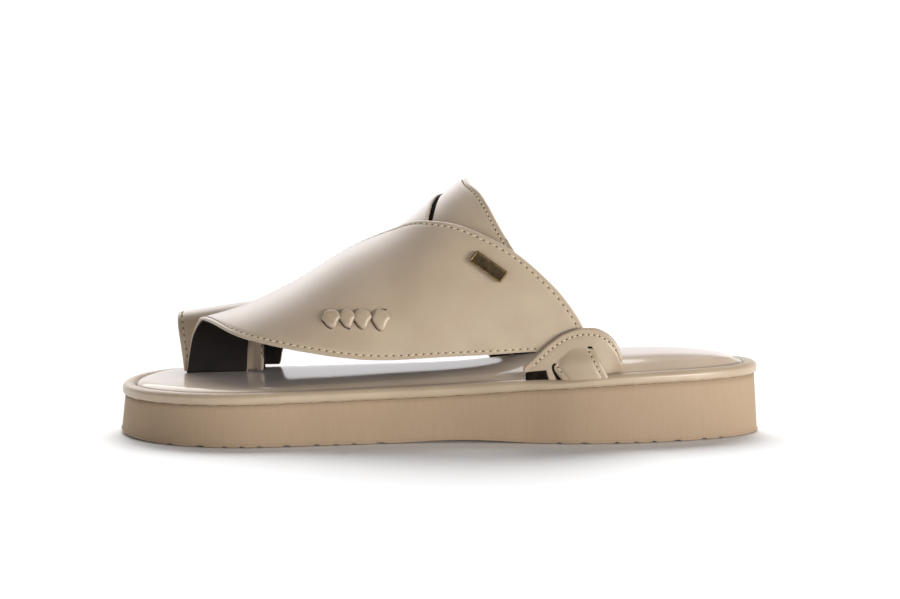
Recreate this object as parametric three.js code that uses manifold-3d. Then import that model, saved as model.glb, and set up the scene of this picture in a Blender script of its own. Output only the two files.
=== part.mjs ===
// Left arabic sandal: thick sole, wrapped rand, padded insole and a crossed-strap upper with a big-toe ring.
// Millimetres. Toe towards -X, heel towards +X, outer side towards -Y, sole standing on Z = 0.
import * as THREE from 'three';
import { mergeVertices } from 'three/addons/utils/BufferGeometryUtils.js';
import Module from 'manifold-3d';

// Sole
const SOLE_LENGTH = 284;
const SOLE_STATIONS = 44;
const SPINE_Y = 5.5;
const HAND_SIDE = { lateral: -1, medial: 1 };
const TOE_X = -SOLE_LENGTH / 2;
const HEEL_X = SOLE_LENGTH / 2;
const TOE_ROUND = { lateral: 57, medial: 28 };
const HEEL_ROUND = { lateral: 92, medial: 64 };
const TOE_SPRING = { startX: -116, rise: 1.2 };
const WAIST_ARCH = { startX: -26, endX: 46, rise: 1.0 };
const SEAT_GAP = 0.3;

// Half widths beside the spine, height of the rand's foot, and rise of the insole at its middle
const SOLE_SECTIONS = [
  { x: -142, lateral: 56.0, medial: 45.0, randFoot: 17.2, crown: 1.1 },
  { x: -85, lateral: 56.0, medial: 45.0, randFoot: 18.0, crown: 1.3 },
  { x: -51, lateral: 50.0, medial: 44.5, randFoot: 18.5, crown: 2.3 },
  { x: -17, lateral: 43.5, medial: 40.5, randFoot: 19.2, crown: 3.2 },
  { x: 8, lateral: 41.5, medial: 36.5, randFoot: 20.2, crown: 3.7 },
  { x: 34, lateral: 43.0, medial: 35.0, randFoot: 22.2, crown: 4.6 },
  { x: 60, lateral: 46.0, medial: 35.5, randFoot: 24.0, crown: 4.9 },
  { x: 90, lateral: 46.5, medial: 36.5, randFoot: 25.4, crown: 4.8 },
  { x: 142, lateral: 46.5, medial: 36.5, randFoot: 26.2, crown: 4.4 },
];

// Outsole side, from the tread up: inset from the sole's outline and height
const OUTSOLE_TREAD = [
  { inset: 0.7, height: 0.0 },
  { inset: 0.0, height: 0.5 },
  { inset: 0.05, height: 1.4 },
  { inset: 0.4, height: 1.8 },
];
const OUTSOLE_TOP_INSET = 2.0;

// Rand section, round the roll: inset from the outline and height over its foot
const RAND_HEIGHT = 5.2;
const RAND_SECTION = [
  { inset: 1.7, height: 0.15 },
  { inset: 0.9, height: 1.2 },
  { inset: 0.8, height: 2.9 },
  { inset: 1.6, height: 4.4 },
  { inset: 3.4, height: RAND_HEIGHT },
  { inset: 5.4, height: 4.7 },
  { inset: 6.6, height: 3.2 },
  { inset: 6.6, height: 0.15 },
];

// Insole edge, from its foot up: inset from the outline and height over the rand's foot
const INSOLE_EDGE = [
  { inset: 6.9, height: 0.15 },
  { inset: 6.9, height: 3.0 },
  { inset: 7.5, height: 4.6 },
  { inset: 8.8, height: 5.4 },
];
const INSOLE_EDGE_RISE = 0.4;
const INSOLE_CROWN_MARGIN = 8;
const INSOLE_CROWN_POWER = 4;
const INSOLE_TOP_INSET = 11;
const INSOLE_END_ROUND = 36;
const INSOLE_COLUMNS = 4;

// Last: ridge of each section, and half widths from the ridge down to the footbed on either side
const LAST_SECTIONS = [
  { x: -118, ridgeY: 6.5, ridgeZ: 42.5, lateral: 15.0, medial: 35.0 },
  { x: -104, ridgeY: 6.5, ridgeZ: 45.5, lateral: 24.0, medial: 36.0 },
  { x: -88, ridgeY: 7.5, ridgeZ: 50.0, lateral: 34.0, medial: 36.0 },
  { x: -63, ridgeY: 9.5, ridgeZ: 61.5, lateral: 42.0, medial: 34.0 },
  { x: -40, ridgeY: 11.0, ridgeZ: 75.5, lateral: 44.0, medial: 32.0 },
  { x: -18, ridgeY: 11.0, ridgeZ: 87.0, lateral: 43.0, medial: 29.0 },
  { x: 10, ridgeY: 10.5, ridgeZ: 109.3, lateral: 40.5, medial: 27.0 },
  { x: 40, ridgeY: 8.0, ridgeZ: 125.0, lateral: 38.5, medial: 24.0 },
  { x: 78, ridgeY: 6.0, ridgeZ: 135.0, lateral: 37.5, medial: 26.0 },
];

// Big-toe ring: height of its roof along the toe, and its walls between the toes and on the medial side
const RING_SECTIONS = [
  { x: -118, roofZ: 47.2, postY: 19.5, medialY: 39.4 },
  { x: -88, roofZ: 51.5, postY: 19.5, medialY: 42.9 },
  { x: -60, roofZ: 55.0, postY: 19.5, medialY: 43.5 },
];
const RING_SQUARENESS = 2.6;
const RING_BLEND = { startX: -84, endX: -56 };

// Leather: wall thickness, and the half width of the lateral strap's fold between the toes
const STRAP_WALL = 2.4;
const BRIDGE_WALL = 1.8;
const POST_FOLD = 5.0;

// Lateral strap, from its rear tail to its leg between the toes: places on the last along both edges,
// and the lift of its inner face off the last.
// Side -1 is the outer footbed edge, 0 the ridge, and +1 the foot of the fold between the toes.
const LATERAL_STRAP = [
  { frontX: 46.5, frontSide: -1.0, rearX: 67.0, rearSide: -1.0, lift: 0.6 },
  { frontX: 43.5, frontSide: -0.97, rearX: 65.0, rearSide: -0.94, lift: 0.6 },
  { frontX: 40.5, frontSide: -0.93, rearX: 61.0, rearSide: -0.875, lift: 0.6 },
  { frontX: 26.0, frontSide: -0.925, rearX: 53.0, rearSide: -0.79, lift: 1.2 },
  { frontX: 8.4, frontSide: -0.915, rearX: 34.8, rearSide: -0.64, lift: 2.2 },
  { frontX: -9.0, frontSide: -0.9, rearX: 18.0, rearSide: -0.51, lift: 2.8 },
  { frontX: -26.0, frontSide: -0.885, rearX: 2.0, rearSide: -0.36, lift: 2.8 },
  { frontX: -42.5, frontSide: -0.855, rearX: -14.7, rearSide: -0.14, lift: 2.8 },
  { frontX: -59.5, frontSide: -0.785, rearX: -33.0, rearSide: 0.0, lift: 2.8 },
  { frontX: -76.0, frontSide: -0.67, rearX: -51.0, rearSide: 0.02, lift: 2.8 },
  { frontX: -88.0, frontSide: -0.53, rearX: -62.0, rearSide: 0.03, lift: 2.8 },
  { frontX: -97.0, frontSide: -0.33, rearX: -69.0, rearSide: 0.06, lift: 2.8 },
  { frontX: -104.5, frontSide: -0.06, rearX: -78.0, rearSide: 0.25, lift: 2.8 },
  { frontX: -111.5, frontSide: 0.45, rearX: -85.3, rearSide: 0.6, lift: 2.8 },
  { frontX: -114.5, frontSide: 1.0, rearX: -86.5, rearSide: 1.0, lift: 2.8 },
];
const LATERAL_STRAP_GRID = { along: 36, across: 12 };

// Medial strap, from the mouth of the toe ring to its rear tail. Turn 0 is the lateral foot, 1 the medial.
// Bow is how far the ring's roof leans forward of its feet.
const MEDIAL_STRAP = [
  { upperX: -115.5, upperTurn: 0.0, lowerX: -116.0, lowerTurn: 1.0, bow: 3.6, lift: 0.9 },
  { upperX: -104.0, upperTurn: 0.0, lowerX: -101.0, lowerTurn: 1.0, bow: 2.0, lift: 0.9 },
  { upperX: -92.0, upperTurn: 0.0, lowerX: -87.0, lowerTurn: 1.0, bow: 0.6, lift: 0.9 },
  { upperX: -78.0, upperTurn: 0.0, lowerX: -75.0, lowerTurn: 1.0, bow: 0.0, lift: 0.9 },
  { upperX: -77.2, upperTurn: 0.16, lowerX: -73.5, lowerTurn: 0.95, bow: 0.0, lift: 0.9 },
  { upperX: -73.5, upperTurn: 0.28, lowerX: -70.5, lowerTurn: 0.905, bow: 0.0, lift: 0.9 },
  { upperX: -62.0, upperTurn: 0.34, lowerX: -55.0, lowerTurn: 0.9, bow: 0.0, lift: 0.9 },
  { upperX: -44.0, upperTurn: 0.34, lowerX: -37.0, lowerTurn: 0.912, bow: 0.0, lift: 0.9 },
  { upperX: -24.0, upperTurn: 0.33, lowerX: -18.0, lowerTurn: 0.925, bow: 0.0, lift: 0.9 },
  { upperX: -7.5, upperTurn: 0.33, lowerX: 0.0, lowerTurn: 0.935, bow: 0.0, lift: 0.9 },
  { upperX: -0.7, upperTurn: 0.5, lowerX: 8.0, lowerTurn: 0.941, bow: 0.0, lift: 0.9 },
  { upperX: 12.0, upperTurn: 0.68, lowerX: 15.0, lowerTurn: 0.948, bow: 0.0, lift: 0.9 },
  { upperX: 25.0, upperTurn: 0.8, lowerX: 21.0, lowerTurn: 0.956, bow: 0.0, lift: 0.8 },
  { upperX: 37.0, upperTurn: 0.89, lowerX: 25.5, lowerTurn: 0.965, bow: 0.0, lift: 0.6 },
  { upperX: 45.0, upperTurn: 0.94, lowerX: 30.0, lowerTurn: 0.982, bow: 0.0, lift: 0.6 },
  { upperX: 52.0, upperTurn: 1.0, lowerX: 36.0, lowerTurn: 1.0, bow: 0.0, lift: 0.6 },
];
const MEDIAL_STRAP_GRID = { along: 44, across: 14 };

// Instep bridge under both straps: its front and rear edges from the lateral side over the ridge
const INSTEP_BRIDGE = [
  { side: -0.62, frontX: 8.0, rearX: 32.5 },
  { side: -0.51, frontX: 0.0, rearX: 26.2 },
  { side: -0.31, frontX: -8.0, rearX: 18.7 },
  { side: -0.12, frontX: -12.0, rearX: 13.0 },
  { side: 0.0, frontX: -13.0, rearX: 12.4 },
  { side: 0.14, frontX: -12.0, rearX: 13.4 },
  { side: 0.32, frontX: -8.0, rearX: 16.0 },
  { side: 0.5, frontX: -2.0, rearX: 20.5 },
  { side: 0.6, frontX: 2.0, rearX: 23.5 },
];
const INSTEP_BRIDGE_GRID = { along: 20, across: 5 };

// Half-moon side loop: top edge of the arch over each place along it, its foot, and its lift off the last.
// The medial loop is the same one further forward.
const SIDE_LOOP = [
  { x: 36.6, topSide: 0.973, footSide: 0.985, lift: 3.4 },
  { x: 40.4, topSide: 0.953, footSide: 0.987, lift: 3.4 },
  { x: 46.8, topSide: 0.92, footSide: 0.99, lift: 3.4 },
  { x: 53.6, topSide: 0.896, footSide: 0.995, lift: 3.4 },
  { x: 61.0, topSide: 0.886, footSide: 1.0, lift: 3.4 },
  { x: 66.0, topSide: 0.888, footSide: 1.0, lift: 3.4 },
  { x: 71.4, topSide: 0.903, footSide: 1.0, lift: 2.8 },
  { x: 75.3, topSide: 0.931, footSide: 1.0, lift: 1.8 },
  { x: 77.5, topSide: 0.965, footSide: 1.0, lift: 0.9 },
];
const SIDE_LOOP_SHIFT = { lateral: 0, medial: -15 };
const SIDE_LOOP_GRID = { along: 16, across: 4 };
const SIDE_LOOP_WALL = 2.1;

// Wrap band over the loop, from the slit down to the rand
const SIDE_WRAP = [
  { side: 0.93, frontX: 57.0, rearX: 64.0 },
  { side: 0.951, frontX: 52.3, rearX: 66.0 },
  { side: 0.974, frontX: 48.7, rearX: 68.0 },
  { side: 1.0, frontX: 53.0, rearX: 71.5 },
];
const SIDE_WRAP_GRID = { along: 6, across: 5 };
const SIDE_WRAP_GAP = 0.4;
const SIDE_WRAP_WALL = 2.0;

// Lacing tabs: middle of each on the lateral strap, and its share of the usual width and height
const LACING_TABS = [
  { x: -45.6, side: -0.637, wide: 1.05, high: 0.94 },
  { x: -39.0, side: -0.659, wide: 0.9, high: 0.92 },
  { x: -32.8, side: -0.678, wide: 1.02, high: 0.99 },
  { x: -25.1, side: -0.703, wide: 1.02, high: 1.05 },
];
const TAB = { width: 6.6, height: 7.6, rise: 1.7, taper: 0.24, shoulder: 0.4, gap: 0.35 };
const TAB_GRID = { around: 12, rings: 3 };

// The strap rises towards the heel, so a level line on it drops back by this share
const TAB_LEVEL = 0.29;

// Brass plate on the lateral strap, sloping down towards the heel
const BADGE = { x: 21.5, side: -0.648, length: 16.8, width: 5.7, thick: 1.3, tilt: -54 };
const BADGE_CORNER = 0.8;
const BADGE_BORDER = 0.7;
const BADGE_RECESS = 0.4;
const BADGE_GAP = 0.45;

const wasm = await Module();
wasm.setup();

const leather = new THREE.MeshStandardMaterial({ color: 0xb39c80, roughness: 0.5, metalness: 0 });
const insoleLeather = new THREE.MeshStandardMaterial({ color: 0xbda88e, roughness: 0.45, metalness: 0 });
const soleRubber = new THREE.MeshStandardMaterial({ color: 0xab9376, roughness: 0.8, metalness: 0 });
const brass = new THREE.MeshStandardMaterial({ color: 0x6b5636, roughness: 0.4, metalness: 0.9 });

// Smooth curve through values at rising keys, with no overshoot between them
function curveThrough(keys, values, at) {
  const last = keys.length - 1;
  const place = Math.min(Math.max(at, keys[0]), keys[last]);
  let i = 0;
  while (i < last - 1 && place > keys[i + 1]) i += 1;
  const secant = (k) => (values[k + 1] - values[k]) / (keys[k + 1] - keys[k]);
  const slope = (k) => {
    if (k === 0) return secant(0);
    if (k === last) return secant(last - 1);
    const before = secant(k - 1);
    const after = secant(k);
    return before * after <= 0 ? 0 : (2 * before * after) / (before + after);
  };
  const span = keys[i + 1] - keys[i];
  const t = (place - keys[i]) / span;
  const fromStart = (1 + 2 * t) * (1 - t) ** 2 * values[i] + t * (1 - t) ** 2 * span * slope(i);
  const fromEnd = t ** 2 * (3 - 2 * t) * values[i + 1] + t ** 2 * (t - 1) * span * slope(i + 1);
  return fromStart + fromEnd;
}

function sectionValue(table, keyColumn, column, at) {
  return curveThrough(table.map((row) => row[keyColumn]), table.map((row) => row[column]), at);
}

// Value of a column part of the way, from 0 to 1, down a table's rows
function rowValue(table, column, part) {
  const values = table.map((row) => row[column]);
  return curveThrough([...values.keys()], values, part * (values.length - 1));
}

// Share of the half width left at a place on the round toe or heel, which stops a margin short of the sole's
function endRound(x, toeReach, heelReach, margin = 0) {
  const toePast = (TOE_X + margin + toeReach - x) / toeReach;
  const heelPast = (x - HEEL_X + margin + heelReach) / heelReach;
  const past = Math.max(toePast, heelPast, 0);
  return Math.sqrt(Math.max(1 - past * past, 0));
}

function lateralEdge(x) {
  const half = sectionValue(SOLE_SECTIONS, 'x', 'lateral', x);
  return SPINE_Y - half * endRound(x, TOE_ROUND.lateral, HEEL_ROUND.lateral);
}

function medialEdge(x) {
  const half = sectionValue(SOLE_SECTIONS, 'x', 'medial', x);
  return SPINE_Y + half * endRound(x, TOE_ROUND.medial, HEEL_ROUND.medial);
}

function randFoot(x) {
  return sectionValue(SOLE_SECTIONS, 'x', 'randFoot', x);
}

// Underside of the sole: flat at heel and forefoot, raised at the waist and a little at the toe
function undersideZ(x) {
  const spring = Math.max((TOE_SPRING.startX - x) / (TOE_SPRING.startX - TOE_X), 0);
  const arch = (x - WAIST_ARCH.startX) / (WAIST_ARCH.endX - WAIST_ARCH.startX);
  const archRise = arch > 0 && arch < 1 ? WAIST_ARCH.rise * Math.sin(Math.PI * arch) ** 2 : 0;
  return TOE_SPRING.rise * spring ** 2 + archRise;
}

// Top of the insole, puffed up between its edges
function footbedZ(x, y) {
  const lateral = lateralEdge(x);
  const medial = medialEdge(x);
  const half = Math.max((medial - lateral) / 2 - INSOLE_CROWN_MARGIN, 1);
  const part = Math.min(Math.abs(y - (lateral + medial) / 2) / half, 1);
  const ends = endRound(x, INSOLE_END_ROUND, INSOLE_END_ROUND, INSOLE_TOP_INSET);
  const crown = sectionValue(SOLE_SECTIONS, 'x', 'crown', x) * ends;
  return randFoot(x) + RAND_HEIGHT + INSOLE_EDGE_RISE + crown * (1 - part ** INSOLE_CROWN_POWER);
}

// Sole outline as one closed ring: toe tip, lateral side, heel tip, medial side
function soleOutline() {
  const stations = [];
  for (let k = 0; k <= SOLE_STATIONS; k += 1) {
    stations.push((SOLE_LENGTH / 2) * -Math.cos((Math.PI * k) / SOLE_STATIONS));
  }
  const lateralSide = stations.map((x) => new THREE.Vector2(x, lateralEdge(x)));
  const medialSide = stations.slice(1, -1).reverse().map((x) => new THREE.Vector2(x, medialEdge(x)));
  return [...lateralSide, ...medialSide];
}

const OUTLINE = soleOutline();

// Ring that follows the outline at an inset, at the height that heightAt gives
function insetRing(inset, heightAt) {
  return OUTLINE.map((point, k) => {
    const before = OUTLINE[(k + OUTLINE.length - 1) % OUTLINE.length];
    const after = OUTLINE[(k + 1) % OUTLINE.length];
    const tangent = after.clone().sub(before).normalize();
    const x = point.x - tangent.y * inset;
    const y = point.y + tangent.x * inset;
    return new THREE.Vector3(x, y, heightAt(x, y));
  });
}

// Indexed geometry from points and triangles, turned so that its faces point out
function solidGeometry(points, triangles) {
  let volume = 0;
  for (const [a, b, c] of triangles) {
    volume += points[a].dot(points[b].clone().cross(points[c]));
  }
  const index = triangles.flatMap(([a, b, c]) => (volume < 0 ? [a, c, b] : [a, b, c]));
  const geometry = new THREE.BufferGeometry().setFromPoints(points);
  geometry.setIndex(index);
  geometry.computeVertexNormals();
  return geometry;
}

// Two triangles between neighbouring places in two rows of points
function quad(triangles, a, b, c, d) {
  triangles.push([a, b, c], [a, c, d]);
}

// Bands between neighbouring rings that all start at points[0]
function ringBands(triangles, ringCount, ringSize, closed) {
  const bands = closed ? ringCount : ringCount - 1;
  for (let r = 0; r < bands; r += 1) {
    const lower = r * ringSize;
    const upper = ((r + 1) % ringCount) * ringSize;
    for (let k = 0; k < ringSize; k += 1) {
      const next = (k + 1) % ringSize;
      quad(triangles, lower + k, lower + next, upper + next, upper + k);
    }
  }
}

// Face across an outline ring, from the lateral to the medial side, with columns of points between
function ringFace(points, triangles, start, columns, heightAt, upward) {
  const size = OUTLINE.length;
  const rows = [];
  for (let k = 1; k < SOLE_STATIONS; k += 1) {
    const lateral = points[start + k];
    const medial = points[start + size - k];
    const row = [start + k];
    for (let c = 1; c < columns; c += 1) {
      const between = lateral.clone().lerp(medial, c / columns);
      between.z = heightAt(between.x, between.y);
      row.push(points.length);
      points.push(between);
    }
    row.push(start + size - k);
    rows.push(row);
  }
  const faces = [];
  const toeRow = rows[0];
  const heelRow = rows[rows.length - 1];
  for (let c = 0; c < columns; c += 1) {
    faces.push([start, toeRow[c + 1], toeRow[c]]);
    faces.push([start + SOLE_STATIONS, heelRow[c], heelRow[c + 1]]);
    for (let k = 0; k < rows.length - 1; k += 1) {
      quad(faces, rows[k][c], rows[k][c + 1], rows[k + 1][c + 1], rows[k + 1][c]);
    }
  }
  for (const [a, b, c] of faces) triangles.push(upward ? [a, c, b] : [a, b, c]);
}

function outsoleGeometry() {
  const topZ = (x) => randFoot(x) - SEAT_GAP / 2;
  const rings = OUTSOLE_TREAD.map((step) => insetRing(step.inset, (x) => undersideZ(x) + step.height));
  rings.push(insetRing(OUTSOLE_TOP_INSET, topZ));
  const points = rings.flat();
  const triangles = [];
  ringBands(triangles, rings.length, OUTLINE.length, false);
  ringFace(points, triangles, 0, 1, undersideZ, false);
  ringFace(points, triangles, (rings.length - 1) * OUTLINE.length, 1, topZ, true);
  return solidGeometry(points, triangles);
}

function randGeometry() {
  const rings = RAND_SECTION.map((step) => insetRing(step.inset, (x) => randFoot(x) + step.height));
  const triangles = [];
  ringBands(triangles, rings.length, OUTLINE.length, true);
  return solidGeometry(rings.flat(), triangles);
}

function insoleGeometry() {
  const rings = INSOLE_EDGE.map((step) => insetRing(step.inset, (x) => randFoot(x) + step.height));
  rings.push(insetRing(INSOLE_TOP_INSET, footbedZ));
  const points = rings.flat();
  const triangles = [];
  ringBands(triangles, rings.length, OUTLINE.length, false);
  ringFace(points, triangles, 0, 1, (x) => randFoot(x) + INSOLE_EDGE[0].height, false);
  ringFace(points, triangles, (rings.length - 1) * OUTLINE.length, INSOLE_COLUMNS, footbedZ, true);
  return solidGeometry(points, triangles);
}

// Point on the last. Side runs from -1 at the lateral footbed edge over the ridge at 0 to +1 at the medial.
function lastPoint(x, side, medialHalf) {
  const ridgeY = sectionValue(LAST_SECTIONS, 'x', 'ridgeY', x);
  const ridgeZ = sectionValue(LAST_SECTIONS, 'x', 'ridgeZ', x);
  const half = side < 0 ? -sectionValue(LAST_SECTIONS, 'x', 'lateral', x) : medialHalf;
  const footZ = footbedZ(x, ridgeY + half) + SEAT_GAP;
  const angle = (Math.abs(side) * Math.PI) / 2;
  return new THREE.Vector3(x, ridgeY + half * Math.sin(angle), footZ + (ridgeZ - footZ) * Math.cos(angle));
}

function footPoint(x, side) {
  return lastPoint(x, side, sectionValue(LAST_SECTIONS, 'x', 'medial', x));
}

// The lateral strap's last, which folds down between the toes past the ridge
function foldedPoint(x, side) {
  return lastPoint(x, side, POST_FOLD);
}

// The medial strap's last: the big toe's arch in front, running into the foot behind
function medialPoint(x, turn) {
  const roofZ = sectionValue(RING_SECTIONS, 'x', 'roofZ', x);
  const across = Math.cos(Math.PI * turn);
  const reach = Math.sign(across) * Math.abs(across) ** (2 / RING_SQUARENESS);
  const postY = sectionValue(RING_SECTIONS, 'x', 'postY', x);
  const medialY = sectionValue(RING_SECTIONS, 'x', 'medialY', x);
  const y = (postY + medialY) / 2 - ((medialY - postY) / 2) * reach;
  const footZ = footbedZ(x, y) + SEAT_GAP;
  const z = footZ + (roofZ - footZ) * Math.max(Math.sin(Math.PI * turn), 0) ** (2 / RING_SQUARENESS);
  const share = THREE.MathUtils.smoothstep(x, RING_BLEND.startX, RING_BLEND.endX);
  return new THREE.Vector3(x, y, z).lerp(footPoint(x, 2 * turn - 1), share);
}

// Point at a distance outside a surface that is given by x and a place across
function outside(surface, x, across, lowest, distance) {
  const stepX = 0.4;
  const stepAcross = 0.008;
  const low = Math.max(across - stepAcross, lowest);
  const high = Math.min(across + stepAcross, 1);
  const alongX = surface(x + stepX, across).sub(surface(x - stepX, across));
  const acrossX = surface(x, high).sub(surface(x, low));
  const normal = alongX.cross(acrossX).normalize();
  return surface(x, across).addScaledVector(normal, distance);
}

// Closed leather sheet between an inner and an outer face, on a grid of places
function sheetGeometry(grid, innerAt, outerAt) {
  const rowSize = grid.across + 1;
  const faceSize = (grid.along + 1) * rowSize;
  const places = [];
  for (let i = 0; i <= grid.along; i += 1) {
    for (let j = 0; j <= grid.across; j += 1) places.push([i / grid.along, j / grid.across]);
  }
  const points = [
    ...places.map(([u, v]) => innerAt(u, v)),
    ...places.map(([u, v]) => outerAt(u, v)),
  ];
  const triangles = [];
  const wall = (a, b) => quad(triangles, a, b, b + faceSize, a + faceSize);
  for (let i = 0; i < grid.along; i += 1) {
    for (let j = 0; j < grid.across; j += 1) {
      const a = i * rowSize + j;
      const b = a + rowSize;
      quad(triangles, a, a + 1, b + 1, b);
      quad(triangles, a + faceSize, b + faceSize, b + 1 + faceSize, a + 1 + faceSize);
    }
    wall(i * rowSize, (i + 1) * rowSize);
    wall((i + 2) * rowSize - 1, (i + 1) * rowSize - 1);
  }
  const lastRow = grid.along * rowSize;
  for (let j = 0; j < grid.across; j += 1) {
    wall(j + 1, j);
    wall(lastRow + j, lastRow + j + 1);
  }
  return solidGeometry(points, triangles);
}

function lateralStrapPoint(u, v, wall) {
  const x = THREE.MathUtils.lerp(
    rowValue(LATERAL_STRAP, 'frontX', u),
    rowValue(LATERAL_STRAP, 'rearX', u),
    v,
  );
  const side = THREE.MathUtils.lerp(
    rowValue(LATERAL_STRAP, 'frontSide', u),
    rowValue(LATERAL_STRAP, 'rearSide', u),
    v,
  );
  return outside(foldedPoint, x, side, -1, rowValue(LATERAL_STRAP, 'lift', u) + wall);
}

function medialStrapPoint(u, v, wall) {
  const straightX = THREE.MathUtils.lerp(
    rowValue(MEDIAL_STRAP, 'upperX', u),
    rowValue(MEDIAL_STRAP, 'lowerX', u),
    v,
  );
  const x = straightX - rowValue(MEDIAL_STRAP, 'bow', u) * Math.sin(Math.PI * v);
  const turn = THREE.MathUtils.lerp(
    rowValue(MEDIAL_STRAP, 'upperTurn', u),
    rowValue(MEDIAL_STRAP, 'lowerTurn', u),
    v,
  );
  return outside(medialPoint, x, turn, 0, rowValue(MEDIAL_STRAP, 'lift', u) + wall);
}

function instepBridgePoint(u, v, wall) {
  const first = INSTEP_BRIDGE[0].side;
  const side = first + u * (INSTEP_BRIDGE[INSTEP_BRIDGE.length - 1].side - first);
  const frontX = sectionValue(INSTEP_BRIDGE, 'side', 'frontX', side);
  const rearX = sectionValue(INSTEP_BRIDGE, 'side', 'rearX', side);
  return outside(footPoint, THREE.MathUtils.lerp(frontX, rearX, v), side, -1, wall);
}

function sideLoopPoint(u, v, hand, wall) {
  const first = SIDE_LOOP[0].x;
  const x = first + u * (SIDE_LOOP[SIDE_LOOP.length - 1].x - first);
  const foot = sectionValue(SIDE_LOOP, 'x', 'footSide', x);
  const top = sectionValue(SIDE_LOOP, 'x', 'topSide', x);
  const side = THREE.MathUtils.lerp(foot, top, v) * HAND_SIDE[hand];
  const lift = sectionValue(SIDE_LOOP, 'x', 'lift', x);
  return outside(footPoint, x + SIDE_LOOP_SHIFT[hand], side, -1, lift + wall);
}

function sideWrapPoint(u, v, hand, wall) {
  const side = rowValue(SIDE_WRAP, 'side', u) * HAND_SIDE[hand];
  const x = THREE.MathUtils.lerp(rowValue(SIDE_WRAP, 'frontX', u), rowValue(SIDE_WRAP, 'rearX', u), v);
  const lift = sectionValue(SIDE_LOOP, 'x', 'lift', x) + SIDE_LOOP_WALL + SIDE_WRAP_GAP;
  return outside(footPoint, x + SIDE_LOOP_SHIFT[hand], side, -1, lift + wall);
}

// Point on the lateral strap's outer face: millimetres along X and up the section from a place, and out
function onLateralStrap(place, along, up, out) {
  const step = 0.01;
  const perSide = foldedPoint(place.x, place.side + step).distanceTo(foldedPoint(place.x, place.side)) / step;
  const lift = LATERAL_STRAP[LATERAL_STRAP.length - 1].lift + STRAP_WALL + out;
  return outside(foldedPoint, place.x + along, place.side + up / perSide, -1, lift);
}

// Puffed fan-shaped tab: domed over a base that is wide at the top and tapers down
function lacingTabGeometry(place) {
  const points = [];
  const triangles = [];
  for (let ring = 0; ring <= TAB_GRID.rings; ring += 1) {
    const climb = (Math.PI / 2) * (ring / (TAB_GRID.rings + 1));
    const spread = Math.cos(climb);
    const rise = TAB.rise * Math.sin(climb);
    for (let k = 0; k < TAB_GRID.around; k += 1) {
      const angle = (2 * Math.PI * k) / TAB_GRID.around;
      const taper = 1 + TAB.taper * (Math.sin(angle) - TAB.shoulder);
      const along = (TAB.width / 2) * place.wide * spread * Math.cos(angle) * taper;
      const up = (TAB.height / 2) * place.high * spread * Math.sin(angle);
      points.push(onLateralStrap(place, along, up - TAB_LEVEL * along, TAB.gap + rise));
    }
  }
  ringBands(triangles, TAB_GRID.rings + 1, TAB_GRID.around, false);
  const foot = points.length;
  const crown = foot + 1;
  points.push(onLateralStrap(place, 0, 0, TAB.gap), onLateralStrap(place, 0, 0, TAB.gap + TAB.rise));
  const topRing = TAB_GRID.rings * TAB_GRID.around;
  for (let k = 0; k < TAB_GRID.around; k += 1) {
    const next = (k + 1) % TAB_GRID.around;
    triangles.push([foot, next, k], [crown, topRing + k, topRing + next]);
  }
  return solidGeometry(points, triangles);
}

// Solid for joining and cutting, from a geometry whose shared points are already one
function toManifold(geometry) {
  const vertProperties = new Float32Array(geometry.getAttribute('position').array);
  const triVerts = new Uint32Array(geometry.getIndex().array);
  return new wasm.Manifold(new wasm.Mesh({ numProp: 3, vertProperties, triVerts }));
}

function fromManifold(solid) {
  const mesh = solid.getMesh();
  const geometry = new THREE.BufferGeometry();
  geometry.setAttribute('position', new THREE.BufferAttribute(new Float32Array(mesh.vertProperties), 3));
  geometry.setIndex(new THREE.BufferAttribute(new Uint32Array(mesh.triVerts), 1));
  geometry.computeVertexNormals();
  return geometry;
}

// Both straps, the toe ring and the instep bridge, joined where they cross
function upperGeometry() {
  const lateralStrap = sheetGeometry(
    LATERAL_STRAP_GRID,
    (u, v) => lateralStrapPoint(u, v, 0),
    (u, v) => lateralStrapPoint(u, v, STRAP_WALL),
  );
  const medialStrap = sheetGeometry(
    MEDIAL_STRAP_GRID,
    (u, v) => medialStrapPoint(u, v, 0),
    (u, v) => medialStrapPoint(u, v, STRAP_WALL),
  );
  const instepBridge = sheetGeometry(
    INSTEP_BRIDGE_GRID,
    (u, v) => instepBridgePoint(u, v, 0),
    (u, v) => instepBridgePoint(u, v, BRIDGE_WALL),
  );
  return fromManifold(toManifold(lateralStrap).add(toManifold(medialStrap)).add(toManifold(instepBridge)));
}

// Slab with round corners, standing on its own XY plane
function roundedSlab(length, width, height, corner) {
  const shape = new THREE.Shape();
  const x = length / 2 - corner;
  const y = width / 2 - corner;
  shape.absarc(x, y, corner, 0, Math.PI / 2);
  shape.absarc(-x, y, corner, Math.PI / 2, Math.PI);
  shape.absarc(-x, -y, corner, Math.PI, 1.5 * Math.PI);
  shape.absarc(x, -y, corner, 1.5 * Math.PI, 2 * Math.PI);
  return new THREE.ExtrudeGeometry(shape, { depth: height, bevelEnabled: false, curveSegments: 3 });
}

// Plate with a raised border round a bare field
function badgeGeometry() {
  const plate = roundedSlab(BADGE.length, BADGE.width, BADGE.thick, BADGE_CORNER);
  const fieldLength = BADGE.length - 2 * BADGE_BORDER;
  const fieldWidth = BADGE.width - 2 * BADGE_BORDER;
  const field = roundedSlab(fieldLength, fieldWidth, BADGE.thick, BADGE_CORNER - BADGE_BORDER / 2);
  field.translate(0, 0, BADGE.thick - BADGE_RECESS);
  const [plateSolid, fieldSolid] = [plate, field].map((slab) => {
    slab.deleteAttribute('normal');
    slab.deleteAttribute('uv');
    return toManifold(mergeVertices(slab));
  });
  return fromManifold(plateSolid.subtract(fieldSolid));
}

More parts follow.
